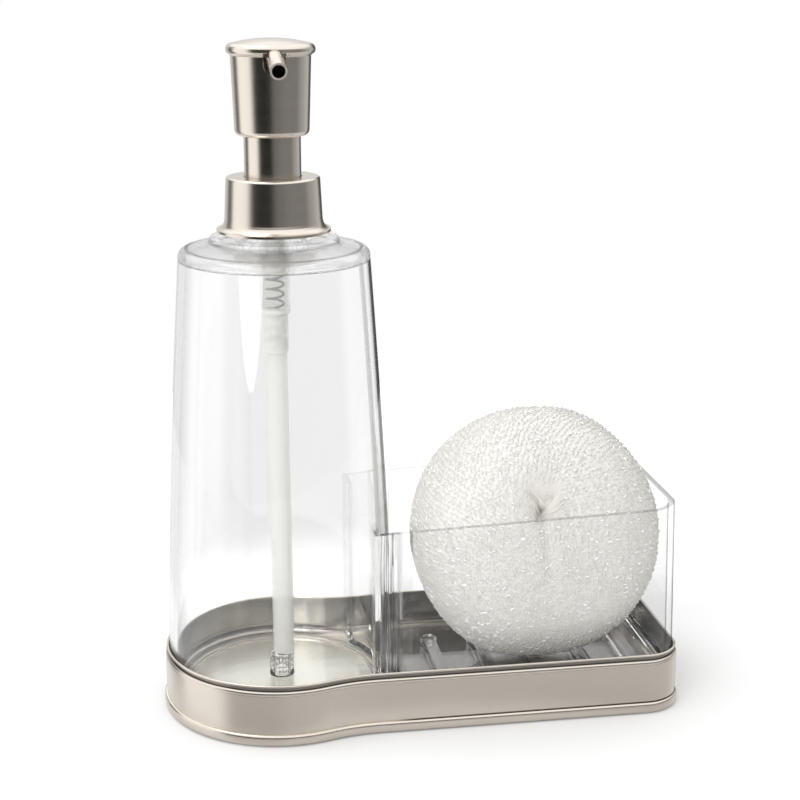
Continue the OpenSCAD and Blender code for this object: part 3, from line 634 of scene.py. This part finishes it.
class CADDY_OT_metal(bpy.types.Operator):
    """Finishes the collar, sleeve, head and nozzle in satin nickel"""

    bl_idname = "caddy.metal"
    bl_label = "Metal of the pump"

    def execute(self, context):
        shells = satin_metal("satin nickel, turned", True)
        dress(shells, "collar_shell", "pump_sleeve", "head_shell", "head_cap")
        dress(satin_metal("satin nickel, drawn", False, 0.2), "nozzle_tube", "nozzle_block")
        return {"FINISHED"}


class CADDY_OT_tray(bpy.types.Operator):
    """Draws the tray with its rolled bead, rounded top corner, lip and coved floor"""

    bl_idname = "caddy.tray"
    bl_label = "Tray"

    # Radii of the waist and of the far corners, and half the width of the straight end
    waist_r, corner_r, half = 55.0, 13.0, 35.5
    # Top of the outer wall, radius of the lip's roll, radius of the cove, and where its wall is
    wall_top, lip_r, cove_r, inner = 19.45, 0.45, 3.0, 1.25
    # Radii of the two rings pressed in the floor below the bottle, and of their section
    rings, ring_r = (32.2, 34.2), 0.6

    def execute(self, context):
        self.bead = context.scene.caddy_sizes.bead
        verts, faces = swept(self.path(), self.outline())
        nickel = satin_metal("satin nickel, tray", False, 0.22, tray_painted_light_and_shade)
        add_piece("tray", verts, faces, nickel, "base", "satin_nickel", "base_tray", sharp=40)
        add_piece("tray_ring", *turned(self.floor_rings(), 144), nickel, "base", "satin_nickel", sharp=60)
        dress(plastic("foot rubber", context.scene.caddy_colours.foot, 0.8, bump=0.3), "rubber_feet")
        return {"FINISHED"}

    def outline(self):
        """Section of the tray as (inset, height), from below its bead over its lip to its floor"""
        low, top, lip = TRAY[0][2], self.wall_top, LIP_Z - self.lip_r
        foot = [(1.2, low + 4.6), (1.2, low), (0.3, low)]
        bead = roll((0, low + 1.8), self.bead, 1.8, -90, 0, 8)
        bead += roll((0, low + 2.3), self.bead, 1.4, 0, 86, 10)
        wall = [(0.35, low + 3.75), (0.35, low + 3.95), (0.0, low + 4.2), (0.0, low + 4.35)]
        wall += [(0.0, top - 1.7), (0.0, top - 1.55), (0.1, top - 1.4), (0.0, top - 1.25)]
        corner = roll((0.95, top - 1.2), 0.95, 1.2, 0, 90, 16)
        groove = [(1.02, top - 0.25), (1.05, top - 0.55), (1.1, top - 0.25), (1.05, lip - 0.55)]
        lip_roll = roll((self.inner - 0.4, lip), self.lip_r, self.lip_r, -60, 180, 12)
        cove_r, cove_z = self.cove_r, FLOOR_Z + self.cove_r
        cove = [(self.inner, cove_z)] + roll((self.inner + cove_r, cove_z), cove_r, cove_r, 0, -90, 9)
        floor = [(self.inner + 3.95, FLOOR_Z), (self.inner + 5.15, FLOOR_Z)]
        return foot + bead + wall + corner + groove + lip_roll + cove + floor

    def floor_rings(self):
        """Section of the two pressed rings"""
        near, far = self.rings
        outline = [(near - self.ring_r, FLOOR_Z - 0.2)] + arc(near, FLOOR_Z, self.ring_r, 180, 20)
        outline += [((near + far) / 2, FLOOR_Z + 0.15)] + arc(far, FLOOR_Z, self.ring_r, 160, 0)
        return outline + [(far + self.ring_r, FLOOR_Z - 0.2)]

    def path(self):
        """Points and outward ways along the tray's outline, about the pump's axis"""
        round_r, reach = TRAY[1][1] - self.bead, TRAY[1][0] - self.bead
        waist_r, corner_r, half = self.waist_r, self.corner_r, self.half
        waist_y = half + waist_r
        waist_x = math.sqrt((round_r + waist_r) ** 2 - waist_y**2)
        meet = math.degrees(math.atan2(waist_y, waist_x))
        path = []

        def run(cx, cy, r, start, end, steps, inward=False):
            for i in range(steps):
                a = math.radians(start + (end - start) * i / steps)
                way = (math.cos(a), math.sin(a))
                path.append(((cx + r * way[0], cy + r * way[1]), (-way[0], -way[1]) if inward else way))

        def straight(x0, y0, x1, y1, way, steps):
            for i in range(steps):
                t = i / steps
                path.append(((x0 + (x1 - x0) * t, y0 + (y1 - y0) * t), way))

        run(0, 0, round_r, meet, 360 - meet, 120)
        run(waist_x, -waist_y, waist_r, 180 - meet, 90, 18, inward=True)
        straight(waist_x, -half, reach - corner_r, -half, (0, -1), 16)
        run(reach - corner_r, corner_r - half, corner_r, -90, 0, 18)
        straight(reach, corner_r - half, reach, half - corner_r, (1, 0), 8)
        run(reach - corner_r, half - corner_r, corner_r, 0, 90, 18)
        straight(reach - corner_r, half, waist_x, half, (0, 1), 16)
        run(waist_x, waist_y, waist_r, -90, meet - 180, 18, inward=True)
        return path


class CADDY_OT_clear(bpy.types.Operator):
    """Draws the clear bottle, shoulder and box"""

    bl_idname = "caddy.clear"
    bl_label = "Clear plastic"

    # Bottle: radius of its foot's curve, top of its floor, and the boss below the dip tube
    foot_curve, floor_z, boss_r, boss_hole_r, boss_top = 3.35, 8.5, 4.25, 2.95, 16.5
    # Shoulder: radius of its rounded edge, radii of neck and bore, top of the ring round the neck
    edge_curve, neck_r, bore_r, ring_top = 2.6, 12.6, 10.8, SEAM_Z + 7.2

    def execute(self, context):
        self.wall = context.scene.caddy_sizes.wall
        finish = clear_plastic("clear plastic, bottle", 1.0, round_wall=True)
        outline, boss = self.bottle()
        form = turned(outline, 168, lambda index, k: -0.25 * (k // 7 % 2) if index in boss else 0)
        add_piece("bottle", *form, finish, "base", "clear_plastic", "bottle_shell")
        finish = clear_plastic("clear plastic, shoulder", 0.62, lines=shoulder_painted_shade)
        outline, ridges = self.shoulder()
        form = turned(outline, 336, lambda index, k: -0.07 * (k % 4 > 1) if index in ridges else 0)
        add_piece("shoulder", *form, finish, "base", "clear_plastic", "bottle_shoulder")
        dress(clear_plastic("clear plastic, box", solid_box, 1.7, box_painted_streaks), "caddy_box")
        return {"FINISHED"}

    def side(self, t, inset=0.0):
        """Point of the bottle's tapered side, from its foot to its shoulder"""
        foot_r, base = BOTTLE[1][0], BOTTLE[0][2]
        r = bend(foot_r, foot_r - 0.2, SHOULDER[1][0], t) - inset
        return r, bend(base + 3.15, base + 51.5, SEAM_Z, t)

    def bottle(self):
        """Section of the bottle, and which of its points stand in the boss's ribs"""
        base, floor, curve = BOTTLE[0][2], self.floor_z, self.foot_curve
        mid_r = BOTTLE[1][0] - curve
        steps = [i / 24 for i in range(25)]
        outline = [(0, base), (mid_r - 0.3, base)] + arc(mid_r, base + curve, curve, -90, -4)
        outline += [self.side(t) for t in steps] + [self.side(t, self.wall) for t in reversed(steps[1:])]
        outline += arc(mid_r - 2.2, floor + 3.0, 3.0, 0, -90) + [(self.boss_r, floor)]
        ribs = [(self.boss_r + 0.05 - 0.35 * (i % 2), floor + 0.8 + 0.8 * i) for i in range(9)]
        boss = range(len(outline), len(outline) + len(ribs))
        top, hole_r = self.boss_top, self.boss_hole_r
        outline += ribs + [(self.boss_r, top - 0.3), (self.boss_r - 0.25, top), (hole_r + 0.25, top)]
        return outline + [(hole_r, top - 0.3), (hole_r, floor), (0, floor)], boss

    def shoulder(self):
        """Section of the shoulder, and which of its points stand in the ring's ridges"""
        edge_r, top = SHOULDER[1][0], SHOULDER[1][2]
        seam, ring, neck = SEAM_Z + 0.1, self.ring_top, self.neck_r
        mid_r, fold = edge_r - self.edge_curve, SEAM_Z + 3.2
        outline = [(self.bore_r, fold)] + arc(mid_r - 1.8, SEAM_Z - 0.1, 1.6, 90, 10, 6)
        outline += [(mid_r, seam), (edge_r, seam)] + arc(mid_r, seam + 0.8, self.edge_curve, 0, 84, 10)
        outline += [(FOLD_R + 0.3, fold), (FOLD_R, fold), (FOLD_R - 0.25, fold + 0.45)]
        outline += [(23.5, fold + 1.6), (RING_R + 0.6, ring - 1.95), (RING_R + 0.15, ring - 1.7)]
        ridges = range(len(outline), len(outline) + 2)
        outline += [(RING_R, ring - 1.5), (RING_R, ring - 0.4)]
        outline += [(RING_R - 0.15, ring - 0.1), (RING_R - 0.5, ring)]
        outline += [(neck + 0.6, ring), (neck, ring + 0.6), (neck, top - 0.2), (neck - 0.2, top)]
        return outline + [(self.bore_r, top)], ridges


class CADDY_OT_pump(bpy.types.Operator):
    """Finishes the pump's inner pieces and winds its spring"""

    bl_idname = "caddy.pump"
    bl_label = "Pump"

    def execute(self, context):
        tints, sizes = context.scene.caddy_colours, context.scene.caddy_sizes
        dress(plastic("milky plastic", tints.milky, 0.35, 0.3, spring_window), "pump_housing")
        dress(plastic("milky plastic, tube", tints.milky, 0.3, 0.3, 0.6), "dip_tube")
        white = plastic("white plastic", tints.white, 0.45)
        dress(white, "collar_nut", "sleeve_guide", "piston_stem", "head_core")
        dress(plastic("seal rubber", tints.seal, 0.7, bump=0.2), "neck_gasket", "piston_seal")
        dress(steel("bright steel", tints.steel), "inlet_ball", "outlet_ball")
        self.spring(steel("spring steel", [0.45 * c for c in tints.steel]), sizes.wire / 2, sizes.curls)
        return {"FINISHED"}

    def spring(self, finish, wire_r, curls):
        """Winds the spring in the space of its node"""
        low, high = (np.array(corner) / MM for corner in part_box("pump_spring"))
        turn = np.linspace(0, 2 * np.pi * curls, curls * 32 + 1)
        out = np.stack((np.cos(turn), np.sin(turn), 0 * turn), -1)
        line = out * ((high[1] - low[1]) / 2 - wire_r)
        line[:, 2] = np.linspace(low[2] + wire_r, high[2] - wire_r, len(turn))
        form = tubes([line], [out], wire_r, 10, False)
        wound = add_piece("spring", *form, finish, "pump_body", "bright_steel", "pump_spring", sharp=60)
        tall = (high[2] - low[2]) * MM
        joints = frame["record"]["behaviour"]["joints"]
        press = next(joint for joint in joints if joint["name"] == "pump_press")
        travel = max(abs(limit) for limit in press["range_m"])
        1 - travel / tall
        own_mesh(wound)


class Pouf:
    """Gathered form of the scrubber, in millimetres about the pump's axis"""

    low, high = (np.array(corner) for corner in span("scrubber"))
    middle = (low + high) / 2 + (1.7, 0.0, -1.65)
    half = (high - low) / 2 + (0.6, 0.0, -0.5)
    # How square it is, seen from above: 2 is round
    power = 2.9
    # Where the knot is, lengthwise and in height
    knot = (85.3, 71.3)
    # Room between the box's side walls, up to its end wall, and height and rise of its rim
    room_y, room_x, rim_z, rim_rise = BOX[1][1] - 2.4, BOX_END - 3.55, 71.0, 0.035

    def skin(self, ways, out=0.0):
        """Points and outward ways of the skin, seen from the middle along some directions"""
        x, y, z = np.moveaxis(unit(ways) / self.half, -1, 0)
        plan = (abs(x) ** self.power + abs(y) ** self.power + 1e-12) ** (1 / self.power)
        points = unit(ways) / np.sqrt(plan**2 + z**2)[..., None]
        x, y, z = np.moveaxis(points / self.half, -1, 0)
        plan = (abs(x) ** self.power + abs(y) ** self.power + 1e-12) ** (1 / self.power)
        steep = [plan ** (2 - self.power) * abs(v) ** (self.power - 1) * np.sign(v) for v in (x, y)]
        normals = unit(np.stack((*steep, z), -1) / self.half)
        points = points + self.middle
        return points + normals * (out - self.folds(points))[..., None], normals

    def from_knot(self, points):
        """Way from the knot lengthwise and in height, and the distance"""
        x, z = points[..., 0] - self.knot[0], points[..., 2] - self.knot[1]
        return x, z, np.hypot(x, z)

    def stretch(self, points):
        """Share of the stretched fan above the knot at some points"""
        x, z, far = self.from_knot(points)
        fan = np.clip((46 - abs(np.degrees(np.arctan2(x, z)) - 6)) / 16, 0, 1)
        return fan * fan * (3 - 2 * fan) * np.exp(-((far / 10) ** 3)) * (points[..., 1] < 0)

    def folds(self, points):
        """Depth of the knot's hollow, the fan above it and the crease below it"""
        x, z, far = self.from_knot(points)
        depth = 4.5 * np.exp(-((far / 2.4) ** 2)) + 1.2 * np.exp(-((far / 11) ** 2))
        crease = np.exp(-(((x + 0.1 * z) / 1.7) ** 2)) * (z < 0) * np.exp(-(((z + 14) / 13) ** 2))
        return (depth + 0.9 * crease) * (points[..., 1] < 0) + 2.2 * self.stretch(points)

    def kept_in(self, points):
        """Keeps strands off the box's walls and above its ribs"""
        x, y, z = np.moveaxis(points, -1, 0)
        below = z < self.rim_z + (x - 37) * self.rim_rise
        y = np.where(below, np.clip(y, -self.room_y, self.room_y), y)
        return np.stack((np.where(below, np.minimum(x, self.room_x), x), y, np.maximum(z, RIBS_Z)), -1)


class CADDY_OT_scrubber(bpy.types.Operator):
    """Knits the mesh scrubber: its gathered body, its rows of stitches and the strands at its knot"""

    bl_idname = "caddy.scrubber"
    bl_label = "Scrubber"

    def execute(self, context):
        tints, sizes = context.scene.caddy_colours, context.scene.caddy_sizes
        self.pouf, self.random = Pouf(), np.random.default_rng(5)
        nylon = tuple(tints.nylon)
        strand = plastic("nylon mesh", nylon, 0.35, 0.6, skin_size=2400.0, bump=0.15)
        # Near the knot the core takes 1.7 times the cream, darker than the nylon's doubled tone: the cream is
        # the cord's tone, the darkening is painted shade
        knot_tone_and_shade = (knot_cream_and_shade, tuple(1.7 * c for c in tints.cream))
        core = plastic("nylon mesh, inner", nylon, 0.6, 0.4, skin_size=700.0, bump=0.4, second=knot_tone_and_shade)
        # The glossy loops get a lighter colour than the nylon, as a painted highlight
        glossy = plastic("nylon mesh, glossy", tints.gloss, 0.14, 0.2, skin_size=2400.0)
        cream = plastic("nylon cord", tuple(tints.cream), 0.4, 0.3, skin_size=1600.0)
        add_piece("mesh_body", *self.body(), core, "scrubber", "mesh_nylon", "scrubber")
        form = tubes(*self.rows(sizes.stitch, sizes.row), sizes.strand / 2, 4)
        add_piece("mesh_stitches", *form, strand, "scrubber", "mesh_nylon", sharp=180)
        form = tubes(*self.glints(sizes.glints), sizes.strand * 0.68, 4, False)
        add_piece("mesh_glints", *form, glossy, "scrubber", "mesh_nylon", sharp=180)
        form = tubes(*self.fan(sizes.fan), sizes.cord / 2, 4, False)
        add_piece("tie", *form, cream, "scrubber", "mesh_nylon", "scrubber_tie", sharp=60)
        return {"FINISHED"}

    def body(self):
        """Skin below the stitches"""
        rounds, rows = 220, 120
        turn, tilt = np.meshgrid(
            np.arange(rounds) * 2 * np.pi / rounds, (np.arange(rows) + 0.5) * np.pi / rows - np.pi / 2
        )
        ways = np.stack((np.cos(tilt) * np.cos(turn), np.cos(tilt) * np.sin(turn), np.sin(tilt)), -1)
        uneven = self.random.normal(0, 0.22, (rows, rounds)) * np.minimum(1, 5 * np.cos(tilt) ** 2)
        points = self.pouf.kept_in(self.pouf.skin(ways, uneven * 0.5 - 0.12)[0]).reshape(-1, 3)
        faces = []
        for i in range(rows - 1):
            for k in range(rounds):
                n = (k + 1) % rounds
                faces.append((i * rounds + k, i * rounds + n, (i + 1) * rounds + n, (i + 1) * rounds + k))
        faces.append(tuple(reversed(range(rounds))))
        faces.append(tuple(range((rows - 1) * rounds, rows * rounds)))
        return points.tolist(), faces

    def rows(self, stitch, spacing):
        """Closed rows of knitted loops, one round another, from the knot to the far side"""
        front = np.array((self.pouf.knot[0], -29.5, self.pouf.knot[1]))
        pole = unit(front - self.pouf.middle)
        first = unit(np.cross(pole, (0.0, 0.0, 1.0)))
        second = np.cross(pole, first)
        size = float(self.pouf.half.mean())
        count = round(math.pi * size * 1.04 / spacing)
        steps = 6
        paths, normals = [], []
        for row in range(count):
            tilt = math.pi * ((row + 0.5) / count - 0.5)
            loops = max(5, round(2 * math.pi * size * math.cos(tilt) / stitch))
            t = np.arange(loops * steps) / steps
            puff, slip, lift = (
                np.repeat(self.random.uniform(low, high, loops), steps)
                for low, high in ((0.6, 1.3), (-0.2, 0.2), (-0.4, 0.4))
            )
            arch = np.sin(np.pi * (t % 1))
            sway = np.sin(2 * np.pi * t)
            turn = 2 * np.pi * (t + (0.16 * sway + slip) * arch + 0.5 * (row % 2)) / loops
            rise = tilt + spacing * (lift * arch - 0.3 * sway) / size
            ways = np.cos(rise)[:, None] * (np.cos(turn)[:, None] * first + np.sin(turn)[:, None] * second)
            ways = ways + np.sin(rise)[:, None] * pole
            out = 0.66 * puff * arch - 0.3 - 1.1 * self.pouf.stretch(self.pouf.skin(ways)[0])
            points, normal = self.pouf.skin(ways, out)
            paths.append(self.pouf.kept_in(points))
            normals.append(normal)
        return paths, normals

    def glints(self, count):
        """Short loops that stand out of the rows and catch the light"""
        paths, normals = [], []
        for way in unit(self.random.normal(size=(count, 3))):
            across = unit(np.cross(way, (0.0, 0.0, 1.0)))
            lean = self.random.normal(0, 0.5)
            along = math.cos(lean) * across + math.sin(lean) * np.cross(way, across)
            t = np.linspace(-1, 1, 7)
            spots = way + along * t[:, None] * self.random.uniform(0.45, 0.8) / self.pouf.half.mean()
            points, normal = self.pouf.skin(spots, self.random.uniform(0.3, 0.55) * (1 - t**2) - 0.1)
            outside = abs(self.pouf.kept_in(points) - points).max() > 0.01
            if outside or self.pouf.stretch(points).max() > 0.05:
                continue
            paths.append(points)
            normals.append(normal)
        return paths, normals

    def fan(self, count):
        """Strands that run out of the knot, most of them upward, and the cord round it"""
        paths, normals = [], []
        middle = (self.pouf.knot[0], 0, self.pouf.knot[1])
        leans = np.concatenate((np.linspace(-44, 58, count), (-150, -95, 105, 155)))
        for lean in leans + self.random.normal(0, 2, len(leans)):
            reach = self.random.uniform(6, 11) if abs(lean) < 70 else 4.0
            far = np.linspace(0.3, reach, 14)
            bow = math.radians(lean) + 0.012 * (far - reach) * np.sign(lean)
            spots = np.stack((far * np.sin(bow), np.full(14, -30.0), far * np.cos(bow)), -1)
            spots = spots + middle - self.pouf.middle
            points, normal = self.pouf.skin(spots, 0.25 + 0.3 * np.exp(-far / 6))
            paths.append(points)
            normals.append(normal)
        turn = np.linspace(0, 4 * np.pi, 60)
        paths.append(np.stack((1.4 * np.cos(turn), -23.2 - 0.1 * turn, 1.4 * np.sin(turn)), -1) + middle)
        normals.append(np.tile((0.0, -1.0, 0.0), (60, 1)))
        return paths, normals


# ---------------------------------------------------------------- stage


class CADDY_OT_stage(bpy.types.Operator):
    """Sets the plain floor, the soft lamps, the world and the camera"""

    bl_idname = "caddy.stage"
    bl_label = "Stage"

    # Walls of the studio that the metal mirrors: turn in degrees, 0 behind the camera, and brightness
    walls = (
        (-180, 0.8), (-137, 0.75), (-127, 0.14), (-114, 0.14), (-102, 1.4), (-64, 1.35),
        (-44, 0.015), (-4, 0.01), (14, 0.19), (30, 0.22), (44, 0.26), (86, 0.26), (102, 0.45),
        (140, 0.7), (147, 0.08), (172, 0.08), (177, 0.8),
    )
    ceiling = 1.5
    # Lamps: name, place and size in metres, power in watts, and whether metal mirrors it
    soft_lamps = (
        ("softbox", (-0.45, 0.1, 1.2), 0.6, 2.5, True),
        ("front fill", (-0.8, -1.1, 0.45), 1.1, 15.0, False),
    )
    # Place of the camera in metres, and how far it looks down and leans in degrees
    camera_spot, camera_down, camera_lean = (-0.092752, -0.519938, 0.250541), 15.428, 0.1176
    # Radius of the floor in metres
    floor_r = 0.42

    def execute(self, context):
        scene = context.scene
        self.floor(scene)
        self.world(scene)
        self.lamps(scene)
        self.camera(scene)
        scene.view_settings.view_transform = "Standard"
        return {"FINISHED"}

    def floor(self, scene):
        """Round pale floor, which fades to white away from the object and keeps its shadow"""
        mesh = bpy.data.meshes.new("floor")
        build = bmesh.new()
        bmesh.ops.create_circle(build, cap_ends=True, segments=96, radius=self.floor_r)
        build.to_mesh(mesh)
        build.free()
        floor = bpy.data.objects.new("floor", mesh)
        scene.collection.objects.link(floor)
        made, look = material("floor")
        tint = tuple(scene.caddy_colours.floor)
        paint = look.mix(look.noise(look.place(), 9.0, 2.0) * 0.04, tint, tuple(0.9 * c for c in tint))
        lit = look.node("ShaderNodeBsdfDiffuse", None, paint)
        near, far, bright = (
            look.node("ShaderNodeAddShader", None, lit, look.glow(glow)) for glow in (0.03, 0.28, 0.2)
        )
        x, y, z = look.parts(look.place())
        away = (x * x + y * y).math("SQRT")
        through = look.light_path("Is Transmission Ray")
        seen = look.mix_shader(away.between(0.12, 0.3).math("MAXIMUM", y.between(0.045, 0.11)), near, far)
        seen = look.mix_shader(away.between(0.12, 0.18) * through, seen, look.glow(1.0))
        # Painted shade round the tray's foot: rays other than the camera's see the floor near the tray dark,
        # without glow or see-through; away from it the floor glows
        beyond_painted_foot_shade = ((x / 0.09) ** 2 + (y / 0.045) ** 2).math("SQRT").between(0.95, 1.35)
        mirrored = look.light_path("Is Glossy Ray") * beyond_painted_foot_shade * 0.5
        unseen = look.mix_shader(mirrored, look.mix_shader(beyond_painted_foot_shade, lit, bright), look.see_through(1.0))
        look.finish(look.mix_shader(look.light_path("Is Camera Ray").math("MAXIMUM", through), unseen, seen))
        mesh.materials.append(made)

    def world(self, scene):
        """White where the camera looks past the object; soft bright and dim walls round the metal"""
        world = bpy.data.worlds.new("studio")
        world.use_nodes = True
        scene.world = world
        look = Look(world.node_tree)
        x, y, z = look.parts(look.node("ShaderNodeTexCoord", out="Generated"))
        toward = x * -math.sin(TURN) + y * -math.cos(TURN)
        right = x * math.cos(TURN) + y * -math.sin(TURN)
        turn = right.math("ARCTAN2", toward) / (2 * math.pi) + 0.5
        stops = [(place / 360 + 0.5, shade) for place, shade in self.walls]
        walls = look.node("ShaderNodeValToRGB", {"ramp": "EASE", "stops": stops}, turn)
        room = look.mix(z.between(0.25, 0.55), walls, (self.ceiling,) * 3)
        past = look.light_path("Is Camera Ray").math("MAXIMUM", look.light_path("Is Transmission Ray"))
        back = look.node("ShaderNodeBackground", None, look.mix(past, room, (1, 1, 1)), 1.0)
        look.node("ShaderNodeOutputWorld", None, Surface=back)

    def lamps(self, scene):
        aim = Vector((0, 0, 0.08))
        for name, spot, size, power, mirrored in self.soft_lamps:
            data = bpy.data.lights.new(name, "AREA")
            data.shape = "DISK"
            data.size = size
            data.energy = power
            lamp = bpy.data.objects.new(name, data)
            lamp.visible_glossy = mirrored
            lamp.location = spot
            lamp.rotation_euler = (aim - Vector(spot)).to_track_quat("-Z", "Y").to_euler()
            scene.collection.objects.link(lamp)

    def camera(self, scene):
        data = bpy.data.cameras.new("camera")
        data.sensor_width = 36
        data.lens = scene.caddy_sizes.lens
        camera = bpy.data.objects.new("camera", data)
        camera.location = self.camera_spot
        camera.rotation_euler = (math.radians(90 - self.camera_down), 0, -TURN)
        camera.rotation_euler.rotate_axis("Z", math.radians(self.camera_lean))
        scene.collection.objects.link(camera)
        scene.camera = camera


STEPS = (
    CADDY_OT_stage,
    CADDY_OT_metal,
    CADDY_OT_tray,
    CADDY_OT_clear,
    CADDY_OT_pump,
    CADDY_OT_scrubber,
)


class CADDY_PT_panel(bpy.types.Panel):
    """Lists the caddy's steps, colours and sizes"""

    bl_idname = "CADDY_PT_panel"
    bl_label = "Soap pump caddy"
    bl_space_type = "VIEW_3D"
    bl_region_type = "UI"
    bl_category = "Caddy"

    def draw(self, context):
        for step in STEPS:
            self.layout.operator(step.bl_idname)
        for group in (context.scene.caddy_colours, context.scene.caddy_sizes):
            for name in group.bl_rna.properties.keys():
                if name not in ("rna_type", "name"):
                    self.layout.prop(group, name)


CLASSES = (CaddyColours, CaddySizes, *STEPS, CADDY_PT_panel)


def register():
    for made in CLASSES:
        bpy.utils.register_class(made)
    bpy.types.Scene.caddy_colours = PointerProperty(type=CaddyColours)
    bpy.types.Scene.caddy_sizes = PointerProperty(type=CaddySizes)


def unregister():
    del bpy.types.Scene.caddy_sizes
    del bpy.types.Scene.caddy_colours
    for made in reversed(CLASSES):
        bpy.utils.unregister_class(made)


def main():
    register()
    for step in STEPS:
        group, name = step.bl_idname.split(".")
        getattr(getattr(bpy.ops, group), name)()


if __name__ == "__main__":
    main()
